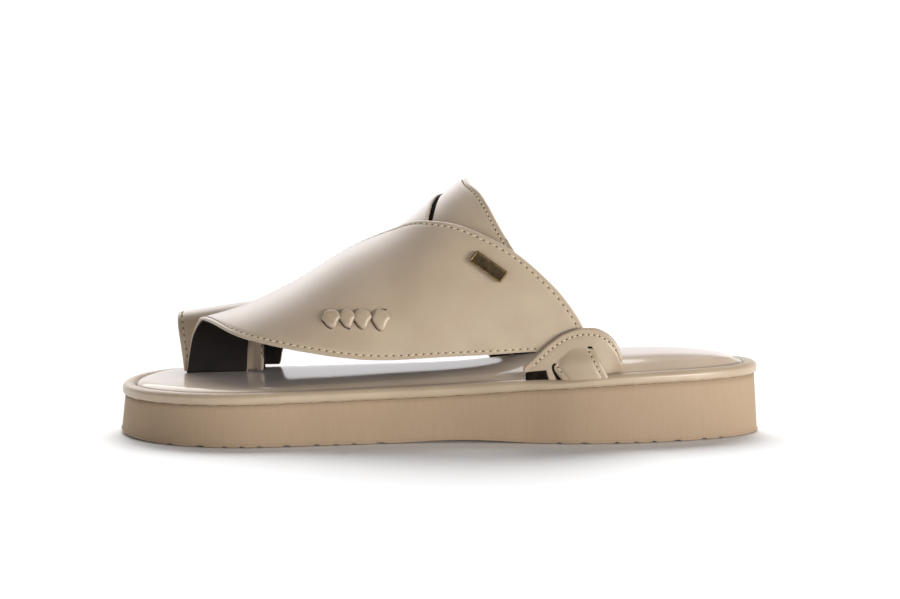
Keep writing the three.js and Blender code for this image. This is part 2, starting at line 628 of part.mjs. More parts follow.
// Turns a mesh so that its own Z points out of the lateral strap, and seats it there
function seatOnLateralStrap(mesh, place, out, tiltDegrees) {
  const step = 1;
  const seat = onLateralStrap(place, 0, 0, out);
  const alongX = onLateralStrap(place, step, 0, out).sub(onLateralStrap(place, -step, 0, out)).normalize();
  const upSection = onLateralStrap(place, 0, step, out).sub(onLateralStrap(place, 0, -step, out));
  const normal = alongX.clone().cross(upSection).normalize();
  const up = normal.clone().cross(alongX);
  mesh.quaternion.setFromRotationMatrix(new THREE.Matrix4().makeBasis(alongX, up, normal));
  mesh.rotateZ(THREE.MathUtils.degToRad(tiltDegrees));
  mesh.position.copy(seat);
}

const group = new THREE.Group();

function addMesh(name, geometry, material) {
  const mesh = new THREE.Mesh(geometry, material);
  mesh.name = name;
  group.add(mesh);
  return mesh;
}

addMesh('outsole', outsoleGeometry(), soleRubber);
addMesh('rand', randGeometry(), leather);
addMesh('insole', insoleGeometry(), insoleLeather);
addMesh('upper', upperGeometry(), leather);

for (const hand of ['lateral', 'medial']) {
  const loop = sheetGeometry(
    SIDE_LOOP_GRID,
    (u, v) => sideLoopPoint(u, v, hand, 0),
    (u, v) => sideLoopPoint(u, v, hand, SIDE_LOOP_WALL),
  );
  const wrap = sheetGeometry(
    SIDE_WRAP_GRID,
    (u, v) => sideWrapPoint(u, v, hand, 0),
    (u, v) => sideWrapPoint(u, v, hand, SIDE_WRAP_WALL),
  );
  addMesh(`side_loop_${hand}`, loop, leather);
  addMesh(`side_wrap_${hand}`, wrap, leather);
}

LACING_TABS.forEach((place, index) => addMesh(`lacing_tab_${index + 1}`, lacingTabGeometry(place), leather));

seatOnLateralStrap(addMesh('badge_plate', badgeGeometry(), brass), BADGE, BADGE_GAP, BADGE.tilt);

export default group;
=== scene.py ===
import math
from types import SimpleNamespace as Named

import bpy
import numpy as np
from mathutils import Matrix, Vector


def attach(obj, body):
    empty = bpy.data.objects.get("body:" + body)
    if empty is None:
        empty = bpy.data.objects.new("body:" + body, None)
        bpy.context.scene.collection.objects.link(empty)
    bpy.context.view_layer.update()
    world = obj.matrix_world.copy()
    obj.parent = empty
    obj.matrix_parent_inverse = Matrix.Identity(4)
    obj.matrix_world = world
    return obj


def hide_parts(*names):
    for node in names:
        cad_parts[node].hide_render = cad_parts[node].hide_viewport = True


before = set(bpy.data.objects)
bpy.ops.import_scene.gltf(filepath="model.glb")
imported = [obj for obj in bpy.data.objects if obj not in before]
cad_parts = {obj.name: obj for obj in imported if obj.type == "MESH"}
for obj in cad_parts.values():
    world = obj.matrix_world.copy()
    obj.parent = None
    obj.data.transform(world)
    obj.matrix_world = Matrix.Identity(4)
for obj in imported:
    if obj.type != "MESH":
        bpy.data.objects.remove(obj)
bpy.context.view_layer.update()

MM = 0.001
TINY = 1e-6


def table(names, *rows):
    """Named columns of a short table."""
    return dict(zip(names.split(), np.array(rows, dtype=float).T))


# Sole
SOLE_LENGTH = 284
SPINE_Y = 5.5
TOE_X = -SOLE_LENGTH / 2
HEEL_X = SOLE_LENGTH / 2
TOE_ROUND = {"lateral": 57, "medial": 28}
HEEL_ROUND = {"lateral": 92, "medial": 64}
TOE_SPRING = Named(start_x=-116, rise=1.2)
WAIST_ARCH = Named(start_x=-26, end_x=46, rise=1.0)
SEAT_GAP = 0.3

# Half widths beside the spine, height of the rand's foot, and rise of the insole at its middle
SOLE = table(
    "x lateral medial rand_foot crown",
    (-142, 56, 45, 17.2, 1.1),
    (-85, 56, 45, 18, 1.3),
    (-51, 50, 44.5, 18.5, 2.3),
    (-17, 43.5, 40.5, 19.2, 3.2),
    (8, 41.5, 36.5, 20.2, 3.7),
    (34, 43, 35, 22.2, 4.6),
    (60, 46, 35.5, 24, 4.9),
    (90, 46.5, 36.5, 25.4, 4.8),
    (142, 46.5, 36.5, 26.2, 4.4),
)

# Outsole side from the tread up: inset from the outline and height over the underside
TREAD_LIP = (
    (9, 0), (8.4, 0.05), (7.4, 0.15), (5, 0.2), (1.5, 0.2), (0.6, 0.25),
    (0.2, 0.4), (0.02, 0.7), (0, 1), (0.12, 1.3), (0.3, 1.55), (0.42, 1.85),
)
OUTSOLE = Named(top_inset=2.0, top_columns=4, wall_rings=8, stations=460, tread_columns=24)

# Tread grooves across the sole: zones along it, their section, and the heights where they fade out
TREAD_ZONES = ((-122, -14), (44, 128))
TREAD = Named(pitch=9.7, width=2.4, slope=(-0.4, 0.2), depth=0.5, fade=(0.2, 1.6))
TREAD_WAVE = Named(across=2.2, across_length=26, along=2.6, along_length=43)

# Rand: its roll from the outer foot over the top to the inner shoulder
RAND = Named(height=5.2, inner_inset=6.6, steps=26, stations=320)
RAND_ROLL = table(
    "inset height",
    (1.7, 0.15), (0.9, 1.2), (0.8, 2.9), (1.6, 4.4), (3.4, 5.2), (5.4, 4.7), (6.6, 3.2),
)

# The rand's small pucker at its foot, and the dip that each side loop presses into its top
RAND_PUCKER = Named(height=0.05, span=(0.0, 0.35), lengths=(3.3, 5.7, 9.1, 14.3))
RAND_DIP = Named(x=54, reach=13, depth=1.3)

# Insole edge from its foot up: inset from the outline and height over the rand's foot
INSOLE_EDGE = table("inset height", (6.9, 0.15), (6.9, 3), (7.5, 4.6), (8.8, 5.4))
INSOLE = Named(
    edge_rise=0.4, crown_margin=8, crown_power=4, top_inset=11, end_round=36,
    stations=220, steps=12, columns=28, foot_columns=2,
)

# Last: ridge of each section, and half widths from the ridge down to the footbed
LAST = table(
    "x ridge_y ridge_z lateral medial",
    (-118, 6.5, 42.5, 15, 35),
    (-104, 6.5, 45.5, 24, 36),
    (-88, 7.5, 50, 34, 36),
    (-63, 9.5, 61.5, 42, 34),
    (-40, 11, 75.5, 44, 32),
    (-18, 11, 87, 43, 29),
    (10, 10.5, 109.3, 40.5, 27),
    (40, 8, 125, 38.5, 24),
    (78, 6, 135, 37.5, 26),
)

# Big-toe ring: its roof along the toe, and its walls between the toes and on the medial side
RING = table(
    "x roof_z post_y medial_y",
    (-118, 47.2, 19.5, 39.4),
    (-88, 51.5, 19.5, 42.9),
    (-60, 55, 19.5, 43.5),
)
RING_SQUARENESS = 2.6
RING_BLEND = Named(start_x=-84, end_x=-56)

# Leather over its dark lining: thicknesses, and the fold between the toes
STRAP_WALL = 2.4
LINING = 0.9
BRIDGE_WALL = 1.8
BRIDGE_LINING = 0.7
LINING_STEP_BACK = 0.5
LINING_OVERLAP = 0.02
POST_FOLD = 5.0
EDGE_STEPS = 5

# Edges that lie under another strap: the lining goes round them
MEDIAL_COVERED = Named(rear_x=-7, medial_y=10)
BRIDGE_COVERED = Named(lateral_y=-22.7, lateral_x=29.0, medial_y=29.5, medial_x=21.0)

# Lateral strap from its rear tail to its leg between the toes: both edges, and its lift off the last
LATERAL_STRAP = table(
    "front_x front_side rear_x rear_side lift",
    (46.5, -1, 67, -1, 0.6),
    (43.5, -0.97, 65, -0.94, 0.6),
    (40.5, -0.93, 61, -0.875, 0.6),
    (26, -0.925, 53, -0.79, 1.2),
    (8.4, -0.915, 34.8, -0.64, 2.2),
    (-9, -0.9, 18, -0.51, 2.8),
    (-26, -0.885, 2, -0.36, 2.8),
    (-42.5, -0.855, -14.7, -0.14, 2.8),
    (-59.5, -0.785, -33, 0, 2.8),
    (-76, -0.67, -51, 0.02, 2.8),
    (-88, -0.53, -62, 0.03, 2.8),
    (-97, -0.33, -69, 0.06, 2.8),
    (-104.5, -0.06, -78, 0.25, 2.8),
    (-111.5, 0.45, -85.3, 0.6, 2.8),
    (-114.5, 1, -86.5, 1, 2.8),
)

# Medial strap from the toe ring's mouth to its tail. Turn 0 is its lateral foot, bow its roof's lean forward
MEDIAL_STRAP = table(
    "upper_x upper_turn lower_x lower_turn bow lift",
    (-115.5, 0, -116, 1, 3.6, 0.9),
    (-104, 0, -101, 1, 2, 0.9),
    (-92, 0, -87, 1, 0.6, 0.9),
    (-78, 0, -75, 1, 0, 0.9),
    (-77.2, 0.16, -73.5, 0.95, 0, 0.9),
    (-73.5, 0.28, -70.5, 0.905, 0, 0.9),
    (-62, 0.34, -55, 0.9, 0, 0.9),
    (-44, 0.34, -37, 0.912, 0, 0.9),
    (-24, 0.33, -18, 0.925, 0, 0.9),
    (-7.5, 0.33, 0, 0.935, 0, 0.9),
    (-0.7, 0.5, 8, 0.941, 0, 0.9),
    (12, 0.68, 15, 0.948, 0, 0.9),
    (25, 0.8, 21, 0.956, 0, 0.8),
    (37, 0.89, 25.5, 0.965, 0, 0.6),
    (45, 0.94, 30, 0.982, 0, 0.6),
    (52, 1, 36, 1, 0, 0.6),
)
RING_END = 0.2
RING_END_FADE = (RING_END - 0.02, RING_END + 0.01)

# The ring's mouth: millimetres for one whole strap length at its upper and lower edge, and its close rows
MOUTH_RATES = Named(upper=172, lower=224)
MOUTH_ROWS = Named(start=0.75, rate=200)

# Instep bridge under both straps: front and rear edges from the lateral side over the ridge
INSTEP_BRIDGE = table(
    "side front_x rear_x",
    (-0.62, 8, 32.5),
    (-0.51, 0, 26.2),
    (-0.31, -8, 18.7),
    (-0.12, -12, 13),
    (0, -13, 12.4),
    (0.14, -12, 13.4),
    (0.32, -8, 16),
    (0.5, -2, 20.5),
    (0.6, 2, 23.5),
)

# Half-moon side loop: top edge of the arch over each place along it, its foot, and its lift off the last
SIDE_LOOP = table(
    "x top_side foot_side lift",
    (36.6, 0.973, 0.983, 3.4),
    (40.4, 0.953, 0.98, 3.4),
    (45.9, 0.924, 0.981, 3.4),
    (47.3, 0.9178, 1.012, 3.4),
    (53.6, 0.896, 1.012, 3.4),
    (61, 0.886, 1.011, 3.4),
    (66, 0.888, 1.008, 3.2),
    (71.4, 0.903, 1.004, 2.6),
    (75.3, 0.931, 1, 1.7),
    (77.5, 0.965, 1, 0.9),
)
HANDS = {"lateral": Named(sign=-1, shift=0), "medial": Named(sign=1, shift=-15)}
LOOP = Named(inner=0.4, wall=2.1, tuck=1.8, tuck_span=(66, 75))

# Wrap band over the loop, from the slit down to the rand
SIDE_WRAP = table(
    "side front_x rear_x",
    (0.93, 57, 64),
    (0.951, 52.3, 66),
    (0.974, 48.7, 68),
    (1.016, 53, 71.5),
)
WRAP = Named(gap=0.4, inner=0.3, wall=2.0, groove=(0.5, 0.65), stitch_inset=1.7)

# The slit that the wrap comes out of: its reach down the front edge, and how deep the wrap starts in it
SLIT_SINK = 0.03
SLIT = Named(reach=0.62, depth=WRAP.gap + WRAP.wall + SLIT_SINK, ease=7.5, height=10.6)

# Dark strips on the loop beside the wrap's free edges, painting the shade of the gaps there: where each
# starts, and how far it shows at its top and foot
FRONT_SHADE = Named(edge="front_x", way=-1, start=0.62, top=0.1, foot=2.9)
REAR_SHADE = Named(edge="rear_x", way=1, start=0.03, top=0.7, foot=0.4)
SHADE_UNDER = Named(top=0.9, foot=1.6)
SHADE_RISE = 0.12

# Dark sheet under the loop's free front end, painting the shade of the hollow there
HOLLOW_SHADE = Named(front_x=37.4, rear_x=46.8, overlap=0.002, foot_side=1.012, lift=3.9, wall=1.2)

# Dark strip painted on the instep bridge behind the medial strap's rear edge, as painted shade of the gap
# under that edge: its width down the strap
EDGE_SHADE = table("u width", (0.59, 2.2), (0.63, 2.4), (0.655, 2.6), (0.672, 2), (0.72, 0.2))
EDGE_SHADE_UNDER = 1.2

# Grids: rows along each piece, and columns across it, besides the close ones at a strap's edges
GRIDS = {
    "lateral_strap": (240, 26),
    "medial_strap": (220, 34),
    "instep_bridge": (110, 14),
    "side_loop": (70, 6),
    "side_wrap": (40, 8),
    "wrap_shade": (24, 16),
    "edge_painted_shade": (60, 8),
}

# Stitching: distance from the edge, pitch, thread, and the groove that it pulls into the leather
FINE_PITCH = 2.4
STITCH = Named(inset=2.1, pitch=3.2, length=1.9, width=0.8, height=0.5, slant=14)
# Dark disc that paints each needle hole's shade: its width, the share left at its top, and its rise
HOLE_SHADE_DISC = Named(width=1.0, top=0.6, rise=0.12)
GROOVE = Named(depth=0.25, width=0.8)

# Form of one stitch, its seat over the leather, and the reach over which the row's way is read
LOZENGE = Named(rings=7, fullness=3, tip=0.02, seat=0.08, look=0.5)

# Rows of stitches: start and end along the piece, and how many points carry the line
STITCH_ROWS = {
    "lateral_front": (0.1, 0.995, 300),
    "lateral_rear": (0.12, 0.995, 300),
    "mouth": (0.01, 0.99, 200),
    "medial": (RING_END + 0.005, 0.97, 300),
    "bridge": (0.01, 0.99, 200),
    "loop": (0.08, 0.96, 200),
    "wrap_rear": (0.1, 0.95, 100),
    "wrap_front": (0.62, 0.95, 100),
}

# Distances from a strap's edge where its grid shows the groove, and their largest share of a narrow row
EDGE_MARKS = np.array([0.0, 0.5, 1.0, 1.5, 2.0, 2.5, 3.0, 3.6, 4.4, 5.6])
EDGE_SHARE = 0.25

# Places across each row of a strap where its width is measured
ROW_PLACES = 61

# Lacing tabs on the lateral strap, and the outline of one tab round its middle
LACING_TABS = table(
    "x side wide high",
    (-45.6, -0.637, 1.05, 0.94),
    (-39, -0.659, 0.9, 0.92),
    (-32.8, -0.678, 1.02, 0.99),
    (-25.1, -0.703, 1.02, 1.05),
)
TAB_OUTLINE = table(
    "along up",
    (4.1, 1.1), (2.2, 3.5), (0.5, 4.2), (-1.4, 4), (-2.9, 2.8), (-3.9, 0.1),
    (-2.9, -1.9), (-1.6, -3.6), (0, -4.4), (1.5, -3.7), (2.6, -1.2),
)
TAB = Named(rise=1.9, gap=0.1, flatness=4.5, around=66, rings=12, foot=0.5, crown=0.04)

# The strap rises towards the heel, so a level line on it drops back by this share
TAB_LEVEL = 0.29

# Dark sheets painting the shade at the tabs' slits, one under each tab and two at tabs' ends: middle from the
# tab's own, and size beside it
TAB_SLIT_SHADE_RISE = 0.14
TAB_SLIT_SHADE = Named(along=-0.7, up=-0.6, wide=0.96, high=0.96)
TAB_END_SLIT_SHADES = {
    2: [Named(along=0.3, up=-4.1, wide=0.22, high=0.14)],
    4: [Named(along=1.2, up=4.3, wide=0.42, high=0.1)],
}

# Brass plate on the lateral strap, sloping to the heel: corners, and inset and height of its section
BADGE = Named(x=21.5, side=-0.648, length=16.8, width=5.7, tilt=-54, gap=0.45)
BADGE_CORNER = Named(radius=0.8, least=0.15, steps=6)
BADGE_SECTION = (
    (0, 0), (0, 1), (0.1, 1.22), (0.3, 1.3), (0.55, 1.3), (0.7, 1.22), (0.8, 0.95), (1, 0.9),
)


def curve(keys, values, at):
    """Smooth curve through values at rising keys, with no overshoot between them."""
    secant = np.diff(values) / np.diff(keys)
    product = secant[:-1] * secant[1:]
    total = secant[:-1] + secant[1:]
    middle = np.where(product > 0, 2 * product / np.where(total == 0, 1, total), 0)
    slope = np.concatenate([secant[:1], middle, secant[-1:]])
    place = np.clip(at, keys[0], keys[-1])
    i = np.clip(np.searchsorted(keys, place, side="right") - 1, 0, len(keys) - 2)
    span = keys[i + 1] - keys[i]
    t = (place - keys[i]) / span
    from_start = (1 + 2 * t) * (1 - t) ** 2 * values[i] + t * (1 - t) ** 2 * span * slope[i]
    from_end = t ** 2 * (3 - 2 * t) * values[i + 1] + t ** 2 * (t - 1) * span * slope[i + 1]
    return from_start + from_end


def at_x(columns, name, x, key="x"):
    """Value of a column at a place along the table's key column."""
    return curve(columns[key], columns[name], x)


def at_row(columns, name, part):
    """Value of a column part of the way, from 0 to 1, down a table's rows."""
    values = columns[name]
    return curve(np.arange(len(values), dtype=float), values, part * (len(values) - 1))


def mix(a, b, part):
    return a + (b - a) * part


def smooth_step(value, start, end):
    t = np.clip((value - start) / (end - start), 0, 1)
    return t * t * (3 - 2 * t)


def unit(vectors):
    length = np.linalg.norm(vectors, axis=-1, keepdims=True)
    return vectors / np.where(length == 0, 1, length)


def points_of(x, y, z):
    return np.stack(np.broadcast_arrays(x, y, z), axis=-1).astype(float)


# Sole outline and heights

def end_round(x, toe_reach, heel_reach, margin=0):
    """Share of the half width left on the round toe or heel, which may stop short of the sole's."""
    toe = (TOE_X + margin + toe_reach - x) / toe_reach
    heel = (x - HEEL_X + margin + heel_reach) / heel_reach
    past = np.maximum(np.maximum(toe, heel), 0)
    return np.sqrt(np.maximum(1 - past * past, 0))


def edge_y(x, hand):
    """The sole's outline on one side."""
    half = at_x(SOLE, hand, x) * end_round(x, TOE_ROUND[hand], HEEL_ROUND[hand])
    return SPINE_Y + HANDS[hand].sign * half


def rand_foot(x):
    return at_x(SOLE, "rand_foot", x)


def underside_z(x):
    """Underside of the sole: flat at heel and forefoot, raised at the waist and the toe."""
    spring = np.maximum((TOE_SPRING.start_x - x) / (TOE_SPRING.start_x - TOE_X), 0)
    arch = np.clip((x - WAIST_ARCH.start_x) / (WAIST_ARCH.end_x - WAIST_ARCH.start_x), 0, 1)
    return TOE_SPRING.rise * spring ** 2 + WAIST_ARCH.rise * np.sin(np.pi * arch) ** 2


def footbed_z(x, y):
    """Top of the insole, puffed up between its edges."""
    lateral = edge_y(x, "lateral")
    medial = edge_y(x, "medial")
    half = np.maximum((medial - lateral) / 2 - INSOLE.crown_margin, 1)
    part = np.minimum(np.abs(y - (lateral + medial) / 2) / half, 1)
    crown = at_x(SOLE, "crown", x) * end_round(x, INSOLE.end_round, INSOLE.end_round, INSOLE.top_inset)
    return rand_foot(x) + RAND.height + INSOLE.edge_rise + crown * (1 - part ** INSOLE.crown_power)


def sole_outline(stations):
    """One closed ring: toe tip, lateral side, heel tip, medial side."""
    x = -(SOLE_LENGTH / 2) * np.cos(np.linspace(0, np.pi, stations + 1))
    lateral, medial = (np.column_stack([x, edge_y(x, hand)]) for hand in ("lateral", "medial"))
    return np.vstack([lateral, medial[-2:0:-1]])


def inset_ring(outline, inset):
    """The outline moved inwards."""
    tangent = unit(np.roll(outline, -1, axis=0) - np.roll(outline, 1, axis=0))
    return outline + inset * np.column_stack([-tangent[:, 1], tangent[:, 0]])


def distance_along(points):
    """Distance along a line of points, or along each row of a grid of them, at each point."""
    steps = np.linalg.norm(np.diff(points, axis=-2), axis=-1)
    return np.concatenate([np.zeros_like(steps[..., :1]), np.cumsum(steps, axis=-1)], axis=-1)


def tread_groove(x, y):
    """Height that the tread's cross grooves take out of the underside."""
    across = TREAD_WAVE.across * np.sin(2 * np.pi * y / TREAD_WAVE.across_length)
    along = TREAD_WAVE.along * np.sin(2 * np.pi * x / TREAD_WAVE.along_length)
    place = x + across + along
    off = np.abs((place / TREAD.pitch) % 1 - 0.5) * TREAD.pitch
    cut = 1 - smooth_step(off, *(TREAD.width / 2 + slope for slope in TREAD.slope))
    zone = sum((x > start) & (x < end) for start, end in TREAD_ZONES)
    return TREAD.depth * cut * zone


# Last and straps

def last_point(x, side, medial_half):
    """Side runs from -1 at the lateral footbed edge over the ridge at 0 to +1 on the medial side."""
    ridge_y = at_x(LAST, "ridge_y", x)
    ridge_z = at_x(LAST, "ridge_z", x)
    half = np.where(side < 0, -at_x(LAST, "lateral", x), medial_half)
    foot_z = footbed_z(x, ridge_y + half) + SEAT_GAP
    angle = np.abs(side) * np.pi / 2
    return points_of(x, ridge_y + half * np.sin(angle), foot_z + (ridge_z - foot_z) * np.cos(angle))


def foot_point(x, side):
    return last_point(x, side, at_x(LAST, "medial", x))


def folded_point(x, side):
    """The lateral strap's last, which folds down between the toes past the ridge."""
    return last_point(x, side, POST_FOLD)


def medial_point(x, turn):
    """The medial strap's last: the big toe's arch in front, running into the foot behind."""
    across = np.cos(np.pi * turn)
    reach = np.sign(across) * np.abs(across) ** (2 / RING_SQUARENESS)
    post_y = at_x(RING, "post_y", x)
    medial_y = at_x(RING, "medial_y", x)
    y = (post_y + medial_y) / 2 - (medial_y - post_y) / 2 * reach
    foot_z = footbed_z(x, y) + SEAT_GAP
    rise = np.maximum(np.sin(np.pi * turn), 0) ** (2 / RING_SQUARENESS)
    arch = points_of(x, y, foot_z + (at_x(RING, "roof_z", x) - foot_z) * rise)
    share = smooth_step(x, RING_BLEND.start_x, RING_BLEND.end_x)[..., None]
    return mix(arch, foot_point(x, 2 * turn - 1), share)


def outside(surface, x, across, lowest, distance):
    """Points at a distance outside a surface that is given by x and a place across."""
    x, across = np.broadcast_arrays(x, across)
    step_x = 0.4
    step_across = 0.008
    low = np.clip(across - step_across, lowest, 1 - step_across)
    high = np.clip(across + step_across, lowest + step_across, 1)
    along_x = surface(x + step_x, across) - surface(x - step_x, across)
    across_x = surface(x, high) - surface(x, low)
    normal = unit(np.cross(along_x, across_x))
    return surface(x, across) + normal * np.asarray(distance)[..., None]


def between(columns, first, last, u, v):
    """From one column to another, at a place down a table's rows."""
    return mix(at_row(columns, first, u), at_row(columns, last, u), v)


def lateral_strap(u, v, out):
    x = between(LATERAL_STRAP, "front_x", "rear_x", u, v)
    side = between(LATERAL_STRAP, "front_side", "rear_side", u, v)
    return outside(folded_point, x, side, -1, at_row(LATERAL_STRAP, "lift", u) + out)


def medial_strap(u, v, out):
    level = between(MEDIAL_STRAP, "upper_x", "lower_x", u, v)
    x = level - at_row(MEDIAL_STRAP, "bow", u) * np.sin(np.pi * v)
    turn = between(MEDIAL_STRAP, "upper_turn", "lower_turn", u, v)
    return outside(medial_point, x, turn, 0, at_row(MEDIAL_STRAP, "lift", u) + out)


def instep_bridge(u, v, out):
    side = mix(INSTEP_BRIDGE["side"][0], INSTEP_BRIDGE["side"][-1], u)
    front = at_x(INSTEP_BRIDGE, "front_x", side, "side")
    rear = at_x(INSTEP_BRIDGE, "rear_x", side, "side")
    return outside(foot_point, mix(front, rear, v), side, -1, np.zeros_like(side) + out)


def loop_lift(x, part):
    """Lift of the side loop's inner face off the last, part of the way up from its foot."""
    tuck = LOOP.tuck * (1 - part) ** 2 * smooth_step(x, *LOOP.tuck_span)
    return at_x(SIDE_LOOP, "lift", x) - tuck


def beside_foot(hand, x, side, lift):
    """Points over the foot on one side, from a place given as on the lateral side, without its sign."""
    return outside(foot_point, x + HANDS[hand].shift, side * HANDS[hand].sign, -1, lift)


def side_loop(hand):
    def surface(u, v, out):
        x = mix(SIDE_LOOP["x"][0], SIDE_LOOP["x"][-1], u)
        side = mix(at_x(SIDE_LOOP, "foot_side", x), at_x(SIDE_LOOP, "top_side", x), v)
        return beside_foot(hand, x, side, loop_lift(x, v) + out)
    return surface


def side_wrap(hand):
    def surface(u, v, out):
        front = at_row(SIDE_WRAP, "front_x", u)
        width = at_row(SIDE_WRAP, "rear_x", u) - front
        x = front + width * v
        below_slit = u * SLIT.height + TINY
        behind_slit = v * width + np.maximum(u - SLIT.reach, 0) * SLIT.height + TINY
        from_slit = 1 / np.sqrt(below_slit ** -2 + behind_slit ** -2)
        sink = SLIT.depth * (1 - smooth_step(from_slit, 0, SLIT.ease))
        lift = at_x(SIDE_LOOP, "lift", x) + LOOP.wall + WRAP.gap - sink + out
        return beside_foot(hand, x, at_row(SIDE_WRAP, "side", u), lift)
    return surface


def wrap_shade(hand, gap):
    """Dark strip on the loop beside one free edge of the wrap, partly under it, painting the shade of the gap
    at that edge.
    """
    def surface(u, v, out):
        row = mix(gap.start, 1, u)
        under = mix(SHADE_UNDER.top, SHADE_UNDER.foot, u)
        beyond = mix(-under, mix(gap.top, gap.foot, u), v)
        x = at_row(SIDE_WRAP, gap.edge, row) + gap.way * beyond
        side = at_row(SIDE_WRAP, "side", row)
        foot = at_x(SIDE_LOOP, "foot_side", x)
        part = np.clip((foot - side) / (foot - at_x(SIDE_LOOP, "top_side", x)), 0, 1)
        return beside_foot(hand, x, side, loop_lift(x, part) + LOOP.wall + out)
    return surface


# Dark sheet painting the shade of the hollow under the loop's free front end
def loop_hollow_shade(hand):
    def surface(u, v, out):
        x = mix(HOLLOW_SHADE.front_x, HOLLOW_SHADE.rear_x, u)
        top_side = at_x(SIDE_LOOP, "foot_side", x) - HOLLOW_SHADE.overlap
        side = mix(HOLLOW_SHADE.foot_side, top_side, v)
        return beside_foot(hand, x, side, np.full(side.shape, HOLLOW_SHADE.lift + out))
    return surface


# Meshes, whose faces take one of two material numbers
FACE_PART = 0
DARK_PART = 1


def grid_faces(index):
    """Quads over a grid of point numbers."""
    corners = [index[:-1, :-1], index[:-1, 1:], index[1:, 1:], index[1:, :-1]]
    return np.stack(corners, axis=-1).reshape(-1, 4)


def grid_index(rows):
    """Point numbers of rows of one size."""
    return np.arange(len(rows) * len(rows[0])).reshape(len(rows), -1)


def closed_columns(index):
    """A grid of point numbers whose last column runs on into its first."""
    return np.concatenate([index, index[:, :1]], axis=1)


def lid_faces(ring):
    """Quads between the two halves of a ring of point numbers."""
    half = (len(ring) + 1) // 2
    return grid_faces(np.vstack([ring[:half], ring[::-1][:half]]))


def facing_out(points, faces):
    """The faces, all turned round if they enclose a negative volume."""
    a, b, c, d = (points[faces[:, k]] for k in range(4))
    volume = np.einsum("ij,ij->", a, np.cross(b, c)) + np.einsum("ij,ij->", a, np.cross(c, d))
    return faces[:, ::-1] if volume < 0 else faces


class Shells:
    """Points and faces of one piece, gathered shell by shell."""

    def __init__(self):
        self.points = []
        self.faces = []
        self.material = []
        self.count = 0

    def add(self, points, faces, material=FACE_PART):
        self.points.append(points)
        self.faces.append(facing_out(points, faces) + self.count)
        self.material.append(np.full(len(faces), material))
        self.count += len(points)
        return self


def add_object(name, data):
    """An object for the data, linked into the scene."""
    thing = bpy.data.objects.new(name, data)
    bpy.context.scene.collection.objects.link(thing)
    return thing


def add_piece(name, shells, finishes, replaces=()):
    """A smooth mesh object from shells, riding on the one body."""
    mesh = bpy.data.meshes.new(name)
    points = np.concatenate(shells.points) * MM
    faces = [list(dict.fromkeys(face)) for face in np.concatenate(shells.faces).tolist()]
    mesh.from_pydata(points.tolist(), [], faces)
    for finish in finishes:
        mesh.materials.append(finish.material)
    mesh.polygons.foreach_set("material_index", np.concatenate(shells.material).astype(np.int32))
    mesh.shade_smooth()
    piece = add_object(name, mesh)
    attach(piece, "root")
    if replaces:
        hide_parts(*replaces)
    return piece


def sheet_shell(inner, outer):
    """Points and faces of a closed sheet between two grids, with a half-round edge all round."""
    rows, columns, _ = outer.shape
    index = grid_index(outer)
    rim_index = np.concatenate([index[0, :-1], index[:-1, -1], index[-1, :0:-1], index[:0:-1, 0]])
    rim_i, rim_j = np.divmod(rim_index, columns)
    middle = (inner + outer) / 2
    rim = middle[rim_i, rim_j]
    half = (outer - inner)[rim_i, rim_j] / 2
    along = unit(np.roll(rim, -1, axis=0) - np.roll(rim, 1, axis=0))
    away = rim - middle[np.clip(rim_i, 1, rows - 2), np.clip(rim_j, 1, columns - 2)]
    away = away - along * np.sum(away * along, axis=1, keepdims=True)
    normal = unit(half)
    away = unit(away - normal * np.sum(away * normal, axis=1, keepdims=True))
    reach = away * np.linalg.norm(half, axis=1, keepdims=True)
    angles = np.linspace(0, np.pi, EDGE_STEPS + 1)[1:-1]
    arcs = [rim + math.cos(angle) * half + math.sin(angle) * reach for angle in angles]
    points = np.concatenate([outer.reshape(-1, 3), inner.reshape(-1, 3), *arcs])
    arc_index = grid_index(arcs) + 2 * index.size
    band = np.vstack([rim_index, arc_index, rim_index + index.size])
    faces = np.concatenate([
        grid_faces(index),
        grid_faces(index + index.size)[:, ::-1],
        grid_faces(closed_columns(band))[:, ::-1],
    ])
    return points, faces


def sheet(surface, u, v, low, high):
    """A closed sheet between two heights over a surface."""
    return sheet_shell(surface(u, v, low), surface(u, v, high))


def rows_across(strap, u):
    """Places across a strap, and how far each is from the front edge on every row."""
    places = np.linspace(0, 1, ROW_PLACES)
    return places, distance_along(strap(u[:, None], places[None, :], 0.0))


def strap_grid(strap, u, edge_inset, middle_columns):
    """A grid that crowds at a strap's edges: places along and across it, and distances to both edges."""
    places, reach = rows_across(strap, u)
    v = []
    front = []
    for row in reach:
        width = row[-1]
        crowd = edge_inset + EDGE_MARKS * min(1, EDGE_SHARE * width / EDGE_MARKS[-1])
        middle = np.linspace(crowd[-1], width - crowd[-1], middle_columns + 2)[1:-1]
        marks = np.concatenate([crowd, middle, width - crowd[::-1]])
        v.append(np.interp(marks, row, places))
        front.append(marks)
    grid_u = np.repeat(u[:, None], len(marks), axis=1)
    return grid_u, np.array(v), np.array(front), reach[:, -1:] - np.array(front)


def groove(distance):
    """Depth that a row of stitches pulls into the leather at a distance from the edge."""
    return GROOVE.depth * np.exp(-((distance - STITCH.inset) / GROOVE.width) ** 2)


OCTAGON_TURN = np.linspace(0, 2 * np.pi, 8, endpoint=False)
OCTAGON_X = np.cos(OCTAGON_TURN)
OCTAGON_Y = np.sin(OCTAGON_TURN)
OCTAGON_LID = np.array([[0, 1, 2, 3], [0, 3, 4, 7], [4, 5, 6, 7]])


def octagon_stack(rings):
    """Points and faces of a closed solid from rings of eight points."""
    points = np.concatenate(rings)
    sides = grid_faces(closed_columns(grid_index(rings)))
    last = len(points) - len(OCTAGON_TURN)
    return points, np.concatenate([sides, OCTAGON_LID[:, ::-1], OCTAGON_LID + last])


